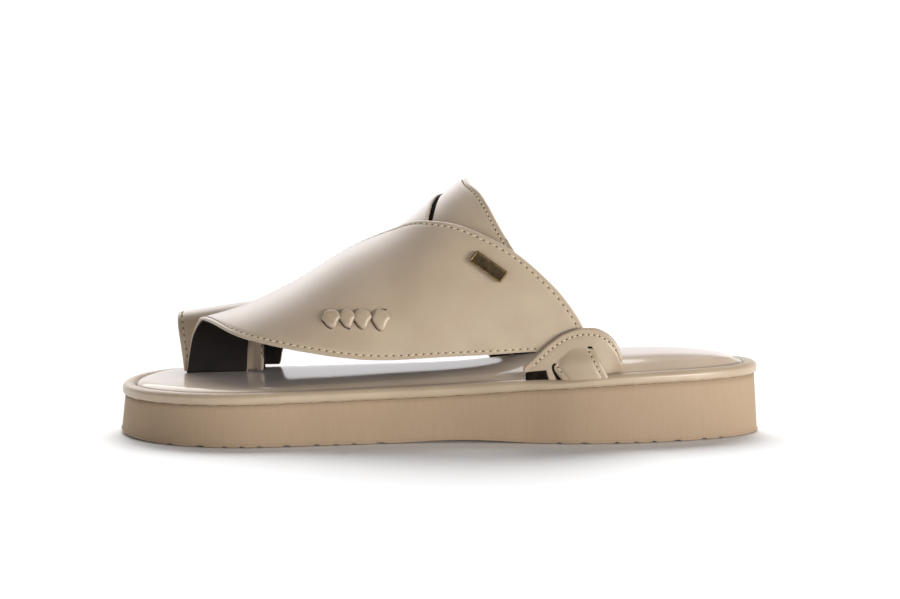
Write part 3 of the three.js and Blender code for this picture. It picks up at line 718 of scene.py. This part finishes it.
def stitch_template():
    """A lozenge of thread along X."""
    along = np.linspace(-1, 1, LOZENGE.rings)
    girth = np.sqrt(np.maximum(1 - np.abs(along) ** LOZENGE.fullness, LOZENGE.tip))
    return octagon_stack([
        points_of(
            part * STITCH.length / 2,
            size * OCTAGON_X * STITCH.width / 2,
            size * OCTAGON_Y * STITCH.height / 2,
        )
        for part, size in zip(along, girth)
    ])


def hole_template():
    """A low dark disc that paints the shade of a needle hole."""
    half = HOLE_SHADE_DISC.width / 2
    sections = [(half, -HOLE_SHADE_DISC.rise), (half * HOLE_SHADE_DISC.top, HOLE_SHADE_DISC.rise)]
    return octagon_stack([points_of(size * OCTAGON_X, size * OCTAGON_Y, z) for size, z in sections])


STITCH_POINTS, STITCH_FACES = stitch_template()
HOLE_POINTS, HOLE_FACES = hole_template()


def add_stitches(shells, line, lifted, pitch):
    """Stitches, and dark discs painting the needle holes' shade, along a line on a surface; lifted is the
    same line further out.
    """
    normals = unit(lifted - line)
    reach = distance_along(line)
    stitch_points = STITCH_POINTS * (pitch / STITCH.pitch, 1, 1)
    slant = math.radians(STITCH.slant)

    def at(rows, place):
        return np.array([np.interp(place, reach, column) for column in rows.T])

    for k in range(2 * int(reach[-1] / pitch)):
        place = (k + 0.5) * pitch / 2
        spot = at(line, place)
        normal = unit(at(normals, place))
        along = unit(at(line, place + LOZENGE.look) - at(line, place - LOZENGE.look))
        beside = unit(np.cross(normal, along))
        if k % 2:
            basis = np.array([along, beside, normal])
            shells.add(spot + HOLE_POINTS @ basis, HOLE_FACES, DARK_PART)
        else:
            turned = math.cos(slant) * along + math.sin(slant) * beside
            basis = np.array([turned, np.cross(normal, turned), normal])
            shells.add(spot + normal * LOZENGE.seat + stitch_points @ basis, STITCH_FACES)


def lines_on(strap, u, v, out):
    """A line on a strap, and the same line a millimetre further out."""
    return strap(u, v, out), strap(u, v, out + 1)


def stitch_line(strap, edge, row, out, inset=STITCH.inset):
    """A row of stitches inside a strap's front or rear edge, as lines_on gives it."""
    u = np.linspace(*STITCH_ROWS[row])
    places, reach = rows_across(strap, u)
    marks = reach[:, -1] - inset if edge == "rear" else np.full(len(u), inset)
    v = np.array([np.interp(mark, along, places) for mark, along in zip(marks, reach)])
    return lines_on(strap, u, v, out)


# Materials
SHEEN_TINT = (1.0, 0.96, 1.0, 1.0)


def linear(red, green, blue):
    """Shader colour from a colour as it shows on a screen, 0 to 255."""
    screen = np.array([red, green, blue]) / 255
    low = screen / 12.92
    high = ((screen + 0.055) / 1.055) ** 2.4
    return (*np.where(screen <= 0.04045, low, high).tolist(), 1.0)


class Finish:
    """A Principled material with procedural colour and relief."""

    def __init__(self, name, colour, roughness, **sockets):
        self.material = bpy.data.materials.new(name)
        self.material.use_nodes = True
        self.nodes = self.material.node_tree.nodes
        self.links = self.material.node_tree.links
        self.shader = self.nodes["Principled BSDF"]
        sockets.update(Base_Color=linear(*colour), Roughness=roughness)
        for socket, value in sockets.items():
            self.shader.inputs[socket.replace("_", " ")].default_value = value
        self.relief = None

    def node(self, kind, **sockets):
        node = self.nodes.new("ShaderNode" + kind)
        for socket, value in sockets.items():
            node.inputs[socket].default_value = value
        return node

    def place(self, stretch=(1, 1, 1), attribute=None):
        """Texture places: object coordinates, or a stored place, stretched along its axes."""
        if attribute:
            source = self.node("Attribute")
            source.attribute_name = attribute
            output = source.outputs["Vector"]
        else:
            output = self.node("TexCoord").outputs["Object"]
        mapping = self.node("Mapping", Scale=stretch)
        self.links.new(output, mapping.inputs["Vector"])
        return mapping.outputs["Vector"]

    def noise(self, scale, detail, *place):
        texture = self.node("TexNoise", Scale=scale, Detail=detail)
        self.links.new(self.place(*place), texture.inputs["Vector"])
        return texture.outputs["Fac"]

    def cells(self, scale):
        texture = self.node("TexVoronoi", Scale=scale)
        texture.feature = "SMOOTH_F1"
        self.links.new(self.place(), texture.inputs["Vector"])
        return texture.outputs["Distance"]

    def tones(self, factor, dark, light, low=0.35, high=0.65):
        """Base colour between two tones."""
        ramp = self.node("ValToRGB")
        for element, position, tone in zip(ramp.color_ramp.elements, (low, high), (dark, light)):
            element.position = position
            element.color = linear(*tone)
        self.links.new(factor, ramp.inputs["Fac"])
        self.links.new(ramp.outputs["Color"], self.shader.inputs["Base Color"])

    def bump(self, height, depth, strength):
        """Relief of a depth in millimetres, on top of the relief before it."""
        node = self.node("Bump", Strength=strength, Distance=depth * MM)
        self.links.new(height, node.inputs["Height"])
        if self.relief:
            self.links.new(self.relief, node.inputs["Normal"])
        self.relief = node.outputs["Normal"]
        self.links.new(self.relief, self.shader.inputs["Normal"])


def leather(name, dark, light, roughness, coat, coat_roughness, specular, sheen):
    finish = Finish(
        name, light, roughness, Specular_IOR_Level=specular, Coat_Weight=coat,
        Coat_Roughness=coat_roughness, Sheen_Weight=sheen, Sheen_Tint=SHEEN_TINT,
    )
    finish.tones(finish.noise(55, 4), dark, light)
    finish.bump(finish.noise(90, 2), 0.5, 0.12)
    finish.bump(finish.cells(1500), 0.12, 0.22)
    return finish


def brass(name, dark, light, roughness):
    finish = Finish(name, light, roughness, Metallic=0.85)
    finish.tones(finish.noise(600, 4), dark, light, 0.3, 0.7)
    finish.bump(finish.noise(1500, 3), 0.12, 0.35)
    return finish


strap_leather = leather("strap_leather", (172, 152, 127), (179, 160, 134), 0.46, 0.45, 0.34, 0.4, 0.8)
knot_leather = leather("knot_leather", (164, 144, 120), (171, 152, 127), 0.46, 0.3, 0.3, 0.5, 0.15)
rand_leather = leather("rand_leather", (170, 150, 125), (178, 158, 133), 0.42, 0.3, 0.3, 0.5, 0.15)
insole_leather = leather("insole_leather", (189, 169, 147), (196, 177, 155), 0.6, 1.0, 0.13, 0.15, 0.1)

lining_leather = Finish("lining", (22, 15, 13), 0.62, Specular_IOR_Level=0.25)
lining_leather.tones(lining_leather.noise(120, 3), (19, 13, 11), (27, 19, 16))
lining_leather.bump(lining_leather.cells(1100), 0.12, 0.3)

sole_buffed = Finish("sole_buffed", (162, 139, 113), 0.82)
buffing_streaks = sole_buffed.noise(1.7, 3, (1, 0.05, 1), "round_place")
sole_buffed.tones(buffing_streaks, (160, 137, 111), (164, 141, 115))
sole_buffed.bump(buffing_streaks, 0.08, 0.1)
sole_buffed.bump(sole_buffed.noise(900, 3), 0.12, 0.4)

thread = Finish("thread", (200, 183, 154), 0.75, Sheen_Weight=0.2)
thread.bump(thread.noise(2200, 2), 0.1, 0.4)

# Painted shade: dark brown of the needle-hole discs and the tab slit sheets
hole_shade = Finish("hole_shade", (68, 53, 42), 0.9)
hole_shade.tones(hole_shade.noise(700, 2), (54, 42, 33), (84, 67, 53))

# Painted shade: near-black matte finish of the sheets beside the wrap, under the loop and behind the medial
# strap's edge
gap_shade = Finish("gap_shade", (26, 19, 16), 0.95, Specular_IOR_Level=0.05)
gap_shade.tones(gap_shade.noise(300, 2), (22, 16, 13), (34, 26, 21))

brass_border = brass("brass_border", (104, 84, 54), (154, 128, 86), 0.34)
brass_field = brass("brass_field", (70, 57, 41), (104, 86, 62), 0.5)


# Sole pieces

def seat_z(x, y):
    """Underside of the rand and the insole, just over the outsole's top."""
    return rand_foot(x) + SEAT_GAP / 2


def face_across(ring, columns, height_at):
    """Points across a ring, one row for each station."""
    stations = len(ring) // 2
    part = np.linspace(0, 1, columns + 1)[1:-1, None]
    inside = mix(ring[1:stations, None], ring[:stations:-1, None], part)
    inside[..., 2] = height_at(inside[..., 0], inside[..., 1])
    return inside


def across_faces(ring, inside):
    """Quads over point numbers across a ring, whose ends run together at the toe and heel tips."""
    stations = len(ring) // 2
    rows = np.hstack([ring[1:stations, None], inside, ring[:stations:-1, None]])
    toe = np.full_like(rows[:1], ring[0])
    heel = np.full_like(rows[:1], ring[stations])
    return grid_faces(np.vstack([toe, rows, heel]))


def disc_shell(rings, low_columns, low_z, high_columns, high_z):
    """A closed solid from rings, with a face across the first ring and one across the last."""
    low = face_across(rings[0], low_columns, low_z)
    high = face_across(rings[-1], high_columns, high_z)
    index = grid_index(rings)
    low_index = grid_index(low) + index.size
    high_index = grid_index(high) + index.size + low_index.size
    faces = np.concatenate([
        grid_faces(closed_columns(index)),
        across_faces(index[0], low_index),
        across_faces(index[-1], high_index)[:, ::-1],
    ])
    return np.concatenate([*rings, *low, *high]), faces


def outsole_piece():
    outline = sole_outline(OUTSOLE.stations)

    def tread_z(x, y):
        return underside_z(x) + tread_groove(x, y)

    def top_z(x, y):
        return rand_foot(x) - SEAT_GAP / 2

    rings = []
    for inset, height in TREAD_LIP:
        x, y = inset_ring(outline, inset).T
        fade = 1 - smooth_step(height, *TREAD.fade)
        rings.append(points_of(x, y, underside_z(x) + height + tread_groove(x, y) * fade))
    lip_inset, lip_height = TREAD_LIP[-1]
    for part in np.linspace(0, 1, OUTSOLE.wall_rings + 1)[1:]:
        x, y = inset_ring(outline, mix(lip_inset, OUTSOLE.top_inset, part)).T
        rings.append(points_of(x, y, mix(underside_z(x) + lip_height, top_z(x, y), part)))
    points, faces = disc_shell(rings, OUTSOLE.tread_columns, tread_z, OUTSOLE.top_columns, top_z)
    piece = add_piece("sole_block", Shells().add(points, faces), [sole_buffed], ["outsole"])
    store_round_place(piece, points, outline)


def store_round_place(piece, points, outline):
    """Stores distances round the outline and heights, for the buffing streaks up the sole's side."""
    rings = len(points) // len(outline)
    ringed = rings * len(outline)
    place = points * (1, 1, 0)
    place[:ringed, 0] = np.tile(distance_along(outline), rings)
    place[:ringed, 1] = points[:ringed, 2]
    attribute = piece.data.attributes.new("round_place", "FLOAT_VECTOR", "POINT")
    attribute.data.foreach_set("vector", place.ravel())


def rand_dip(x, y):
    """How far the roll's top is pressed down under the two side loops."""
    dip = np.zeros_like(x)
    for hand in HANDS.values():
        near = np.exp(-((x - RAND_DIP.x - hand.shift) / RAND_DIP.reach) ** 2)
        dip += RAND_DIP.depth * near * (np.sign(y - SPINE_Y) == hand.sign)
    return dip


def rand_piece():
    outline = sole_outline(RAND.stations)
    reach = distance_along(outline)
    pucker = sum(np.sin(2 * np.pi * reach / length + k) for k, length in enumerate(RAND_PUCKER.lengths))
    rings = []
    for part in np.linspace(0, 1, RAND.steps):
        x, y = inset_ring(outline, at_row(RAND_ROLL, "inset", part)).T
        height = at_row(RAND_ROLL, "height", part)
        low = (1 - smooth_step(part, *RAND_PUCKER.span)) * RAND_PUCKER.height
        dip = rand_dip(x, y) * height / RAND.height
        rings.append(points_of(x, y, rand_foot(x) + height - dip + low * pucker))
    x, y = inset_ring(outline, RAND.inner_inset).T
    rings.append(points_of(x, y, seat_z(x, y)))
    index = grid_index(rings)
    closed = closed_columns(np.vstack([index, index[:1]]))
    shells = Shells().add(np.concatenate(rings), grid_faces(closed))
    add_piece("rand_roll", shells, [rand_leather], ["rand"])


def insole_piece():
    outline = sole_outline(INSOLE.stations)
    rings = []
    for part in np.linspace(0, 1, INSOLE.steps):
        x, y = inset_ring(outline, at_row(INSOLE_EDGE, "inset", part)).T
        rings.append(points_of(x, y, rand_foot(x) + at_row(INSOLE_EDGE, "height", part)))
    x, y = inset_ring(outline, INSOLE.top_inset).T
    rings.append(points_of(x, y, footbed_z(x, y)))
    shells = Shells().add(*disc_shell(rings, INSOLE.foot_columns, seat_z, INSOLE.columns, footbed_z))
    piece = add_piece("footbed_pad", shells, [insole_leather], ["insole"])


outsole_piece()
rand_piece()
insole_piece()


# Straps

def rows_of(name):
    return np.linspace(0, 1, GRIDS[name][0])


def strap_piece(name, strap, u, wall, lining, grooved, covered):
    """Leather over a dark lining, both with round edges, the lining set back from the edge."""
    columns = GRIDS[name][1]
    grid_u, v, front, rear = strap_grid(strap, u, (wall - lining) / 2, columns)
    points, faces = sheet(strap, grid_u, v, lining, wall - grooved(grid_u, v, front, rear))
    middle_x, middle_y, _ = points[faces].mean(axis=1).T
    on_edge = np.arange(len(faces)) >= 2 * (v.shape[0] - 1) * (v.shape[1] - 1)
    dark = on_edge & covered(middle_x, middle_y)
    shells = Shells().add(points, faces, np.where(dark, DARK_PART, FACE_PART))
    grid_u, v, _, _ = strap_grid(strap, u, lining / 2 + LINING_STEP_BACK, columns // 2)
    shells.add(*sheet(strap, grid_u, v, 0.0, lining + LINING_OVERLAP), DARK_PART)
    add_piece(name, shells, [strap_leather, lining_leather], ["upper"])


def both_edges(u, v, front, rear):
    return groove(front) + groove(rear)


def rear_edge(u, v, front, rear):
    return groove(rear)


def mouth_rate(v):
    """Millimetres for one whole length of the medial strap, at a place across the ring's mouth."""
    return mix(MOUTH_RATES.upper, MOUTH_RATES.lower, v)


def medial_edges(u, v, front, rear):
    return groove(u * mouth_rate(v)) + both_edges(u, v, front, rear) * smooth_step(u, *RING_END_FADE)


def nowhere(x, y):
    return np.zeros(x.shape, dtype=bool)


def medial_covered(x, y):
    return (x < MEDIAL_COVERED.rear_x) & (y < MEDIAL_COVERED.medial_y)


def bridge_covered(x, y):
    lateral = (y < BRIDGE_COVERED.lateral_y) & (x < BRIDGE_COVERED.lateral_x)
    medial = (y > BRIDGE_COVERED.medial_y) & (x < BRIDGE_COVERED.medial_x)
    return lateral | medial


def stitched(name, rows, pitch=STITCH.pitch):
    """One piece of stitches, and dark discs painting the needle holes' shade, along several lines."""
    shells = Shells()
    for line, lifted in rows:
        add_stitches(shells, line, lifted, pitch)
    add_piece(name, shells, [thread, hole_shade])


def edge_painted_shade(u, v, out):
    """Dark strip on the instep bridge along the medial strap's rear edge, painting the shade of the gap under
    that edge.
    """
    row = mix(EDGE_SHADE["u"][0], EDGE_SHADE["u"][-1], u)
    x = at_row(MEDIAL_STRAP, "upper_x", row) + mix(-EDGE_SHADE_UNDER, at_x(EDGE_SHADE, "width", row, "u"), v)
    return outside(medial_point, x, at_row(MEDIAL_STRAP, "upper_turn", row), 0, BRIDGE_WALL + out)


def shade_sheet(name, surface, low=-SHADE_RISE, high=SHADE_RISE):
    """A closed sheet over the whole of a surface, for the dark sheets that paint shade."""
    u, v = np.meshgrid(*(np.linspace(0, 1, count) for count in GRIDS[name]), indexing="ij")
    return sheet(surface, u, v, low, high)


STRAP_TOP = STRAP_WALL - GROOVE.depth
BRIDGE_TOP = BRIDGE_WALL - GROOVE.depth

strap_piece(
    "lateral_strap", lateral_strap, rows_of("lateral_strap"), STRAP_WALL, LINING, both_edges, nowhere,
)
stitched("lateral_strap_stitches", [
    stitch_line(lateral_strap, "front", "lateral_front", STRAP_TOP),
    stitch_line(lateral_strap, "rear", "lateral_rear", STRAP_TOP),
])

mouth_rows = (MOUTH_ROWS.start + EDGE_MARKS) / MOUTH_ROWS.rate
rear_rows = np.linspace(mouth_rows[-1], 1, GRIDS["medial_strap"][0])[1:]
medial_rows = np.concatenate([mouth_rows, rear_rows])
strap_piece("medial_strap", medial_strap, medial_rows, STRAP_WALL, LINING, medial_edges, medial_covered)
mouth_turn = np.linspace(*STITCH_ROWS["mouth"])
mouth_u = STITCH.inset / mouth_rate(mouth_turn)
stitched("medial_strap_stitches", [
    lines_on(medial_strap, mouth_u, mouth_turn, STRAP_TOP),
    stitch_line(medial_strap, "front", "medial", STRAP_TOP),
    stitch_line(medial_strap, "rear", "medial", STRAP_TOP),
])

# Dark strip painting the shade along the medial strap's rear edge
add_piece("medial_edge_painted_shade", Shells().add(*shade_sheet("edge_painted_shade", edge_painted_shade)), [gap_shade])
strap_piece(
    "instep_bridge", instep_bridge, rows_of("instep_bridge"),
    BRIDGE_WALL, BRIDGE_LINING, rear_edge, bridge_covered,
)
stitched("instep_bridge_stitches", [stitch_line(instep_bridge, "rear", "bridge", BRIDGE_TOP)], FINE_PITCH)


# Side loops and wraps

def loop_piece(hand):
    loop = side_loop(hand)
    grid_u, v, _, rear = strap_grid(loop, rows_of("side_loop"), 0, GRIDS["side_loop"][1])
    shells = Shells().add(*sheet(loop, grid_u, v, LOOP.inner, LOOP.wall - groove(rear)))
    add_piece(f"half_moon_{hand}", shells, [knot_leather], [f"side_loop_{hand}"])
    wrap = side_wrap(hand)
    grid_u, v, front, rear = strap_grid(wrap, rows_of("side_wrap"), 0, GRIDS["side_wrap"][1])
    sunk = groove(front) * smooth_step(grid_u, *WRAP.groove) + groove(rear)
    shells = Shells().add(*sheet(wrap, grid_u, v, WRAP.inner, WRAP.wall - sunk))
    # Dark sheets painting the shade beside the wrap's free edges and in the hollow under the loop
    for gap in (FRONT_SHADE, REAR_SHADE):
        shells.add(*shade_sheet("wrap_shade", wrap_shade(hand, gap)), DARK_PART)
    shells.add(*shade_sheet("wrap_shade", loop_hollow_shade(hand), 0.0, HOLLOW_SHADE.wall), DARK_PART)
    add_piece(f"wrap_band_{hand}", shells, [knot_leather, gap_shade], [f"side_wrap_{hand}"])
    wrap_top = WRAP.wall - GROOVE.depth
    stitched(f"knot_stitches_{hand}", [
        stitch_line(loop, "rear", "loop", LOOP.wall - GROOVE.depth),
        stitch_line(wrap, "rear", "wrap_rear", wrap_top, WRAP.stitch_inset),
        stitch_line(wrap, "front", "wrap_front", wrap_top, WRAP.stitch_inset),
    ], FINE_PITCH)


for hand in HANDS:
    loop_piece(hand)


# Lacing tabs and badge

def on_lateral_strap(x, side, along, up, out):
    """Points out from the lateral strap's face, by millimetres along X and up the section from a place."""
    step = 0.01
    per_side = np.linalg.norm(folded_point(x, side + step) - folded_point(x, side)) / step
    lift = LATERAL_STRAP["lift"][-1] + STRAP_WALL + out
    return outside(folded_point, x + along, side + up / per_side, -1, lift)


def round_through(values, count):
    """A smooth closed curve through a ring of values."""
    wrapped = np.concatenate([values[-2:], values, values[:3]])
    at = np.linspace(0, len(values), count, endpoint=False)
    i = np.floor(at).astype(int) + 2
    t = at - np.floor(at)
    before, here, after, beyond = (wrapped[i + k] for k in (-1, 0, 1, 2))
    return 0.5 * (
        2 * here
        + (after - before) * t
        + (2 * before - 5 * here + 4 * after - beyond) * t ** 2
        + (3 * here - before - 3 * after + beyond) * t ** 3
    )


def puff_shell(x, side, along, up, low, rise):
    """A closed puff over a ring of places on the lateral strap, from a height over it."""
    def ring(part, out):
        return on_lateral_strap(x, side, mix(along.mean(), along, part), mix(up.mean(), up, part), out)

    rings = [ring(TAB.foot, low)]
    for part in np.linspace(1, TAB.crown, TAB.rings):
        rings.append(ring(part, low + rise * math.sqrt(1 - part ** TAB.flatness)))
    closed = closed_columns(grid_index(rings))
    faces = np.concatenate([grid_faces(closed), lid_faces(closed[0])[:, ::-1], lid_faces(closed[-1])])
    return np.concatenate(rings), faces


def tab_piece(number, x, side, wide, high):
    along = wide * round_through(TAB_OUTLINE["along"], TAB.around)
    up = high * round_through(TAB_OUTLINE["up"], TAB.around)
    shells = Shells().add(*puff_shell(x, side, along, up - TAB_LEVEL * along, TAB.gap, TAB.rise))
    # Dark puffs painting the shade under the tab and at its ends
    for slit in [TAB_SLIT_SHADE, *TAB_END_SLIT_SHADES.get(number, [])]:
        slit_along = slit.along + along * slit.wide
        slit_up = slit.up + up * slit.high - TAB_LEVEL * slit_along
        shells.add(*puff_shell(x, side, slit_along, slit_up, -TAB_SLIT_SHADE_RISE, 2 * TAB_SLIT_SHADE_RISE), DARK_PART)
    add_piece(f"lacing_puff_{number}", shells, [rand_leather, hole_shade], [f"lacing_tab_{number}"])


for number, tab in enumerate(zip(*LACING_TABS.values()), start=1):
    tab_piece(number, *tab)


def slab_ring(length, width, corner, steps):
    """A rectangle's outline with round corners."""
    ring = []
    for k, (sign_x, sign_y) in enumerate([(1, 1), (-1, 1), (-1, -1), (1, -1)]):
        turn = np.linspace(0, np.pi / 2, steps) + k * np.pi / 2
        x = sign_x * (length / 2 - corner) + corner * np.cos(turn)
        y = sign_y * (width / 2 - corner) + corner * np.sin(turn)
        ring.append(np.column_stack([x, y]))
    return np.concatenate(ring)


def badge_piece():
    def strap_place(along, up):
        return on_lateral_strap(BADGE.x, BADGE.side, along, up, BADGE.gap)

    along = unit(strap_place(1, 0) - strap_place(-1, 0))
    normal = unit(np.cross(along, strap_place(0, 1) - strap_place(0, -1)))
    up = np.cross(normal, along)
    tilt = math.radians(BADGE.tilt)
    length_way = math.cos(tilt) * along + math.sin(tilt) * up
    width_way = math.cos(tilt) * up - math.sin(tilt) * along
    rings = []
    for inset, height in BADGE_SECTION:
        corner = max(BADGE_CORNER.radius - inset, BADGE_CORNER.least)
        size = (BADGE.length - 2 * inset, BADGE.width - 2 * inset)
        ring = slab_ring(*size, corner, BADGE_CORNER.steps)
        rings.append(strap_place(0, 0) + ring[:, :1] * length_way + ring[:, 1:] * width_way + height * normal)
    index = grid_index(rings)
    sides = grid_faces(closed_columns(index))
    field = lid_faces(index[-1])
    faces = np.concatenate([sides, field, lid_faces(index[0])[:, ::-1]])
    material = np.full(len(faces), FACE_PART)
    material[len(sides) - len(rings[0]):len(sides) + len(field)] = DARK_PART
    shells = Shells().add(np.concatenate(rings), faces, material)
    add_piece("brass_badge", shells, [brass_border, brass_field], ["badge_plate"])


badge_piece()


# Floor, light and camera, in metres
FLOOR_REACH = 6.0
WORLD_COLOUR = (1.0, 0.98, 1.0, 1.0)
WORLD_RAMP = {"From Min": 0.2, "From Max": 0.4, "To Min": 1.08, "To Max": 0.1}
CAMERA = Named(eye=(0.0, -0.98352, 0.14781), pitch=5.179, yaw=0.256, lens=89.19, sensor=36.0)
KEY_LIGHT = {"place": (1.53, -1.29, 0.18), "aim": (0.04, 0, 0.05), "size": (1.0, 0.3), "power": 33}
BACK_SUNS = {
    "back_light": {"place": (0.06, 0.72, 0.68), "angle": 40, "strength": 2.9, "glossy": False},
    "back_gloss": {"place": (-0.3, 0.72, 0.66), "angle": 48, "strength": 1.3, "glossy": True},
}


def floor_piece():
    mesh = bpy.data.meshes.new("floor")
    ends = (-FLOOR_REACH, FLOOR_REACH)
    mesh.from_pydata([(x, y, 0) for y in ends for x in ends], [], [(0, 1, 3, 2)])
    mesh.materials.append(Finish("pale_floor", (254, 254, 254), 0.9).material)
    add_object("floor", mesh)


def softbox(name, place, aim, size, power):
    light = bpy.data.lights.new(name, "AREA")
    light.shape = "RECTANGLE"
    light.size, light.size_y = size
    light.energy = power
    lamp = add_object(name, light)
    lamp.location = place
    lamp.rotation_euler = (Vector(aim) - Vector(place)).to_track_quat("-Z", "Y").to_euler()


def photo_camera():
    data = bpy.data.cameras.new("photo_camera")
    data.sensor_fit = "HORIZONTAL"
    data.sensor_width = CAMERA.sensor
    data.lens = CAMERA.lens
    camera = add_object("photo_camera", data)
    camera.location = CAMERA.eye
    camera.rotation_euler = (math.radians(90 - CAMERA.pitch), 0, -math.radians(CAMERA.yaw))
    bpy.context.scene.camera = camera


def soft_sun(name, place, angle, strength, glossy):
    """Even light over the whole floor, from the direction of a place."""
    light = bpy.data.lights.new(name, "SUN")
    light.angle = math.radians(angle)
    light.energy = strength
    lamp = add_object(name, light)
    lamp.rotation_euler = Vector(place).to_track_quat("Z", "Y").to_euler()
    lamp.visible_glossy = glossy


def studio_world():
    """White along the horizon all round, and dimmer overhead."""
    world = bpy.data.worlds.new("studio")
    world.use_nodes = True
    nodes = world.node_tree.nodes
    links = world.node_tree.links
    direction = nodes.new("ShaderNodeTexCoord")
    parts = nodes.new("ShaderNodeSeparateXYZ")
    ramp = nodes.new("ShaderNodeMapRange")
    for socket, value in WORLD_RAMP.items():
        ramp.inputs[socket].default_value = value
    links.new(direction.outputs["Generated"], parts.inputs["Vector"])
    links.new(parts.outputs["Z"], ramp.inputs["Value"])
    links.new(ramp.outputs["Result"], nodes["Background"].inputs["Strength"])
    nodes["Background"].inputs["Color"].default_value = WORLD_COLOUR
    bpy.context.scene.world = world


floor_piece()
for name, sun in BACK_SUNS.items():
    soft_sun(name, **sun)
softbox("key", **KEY_LIGHT)
studio_world()
bpy.context.scene.view_settings.view_transform = "Standard"
photo_camera()
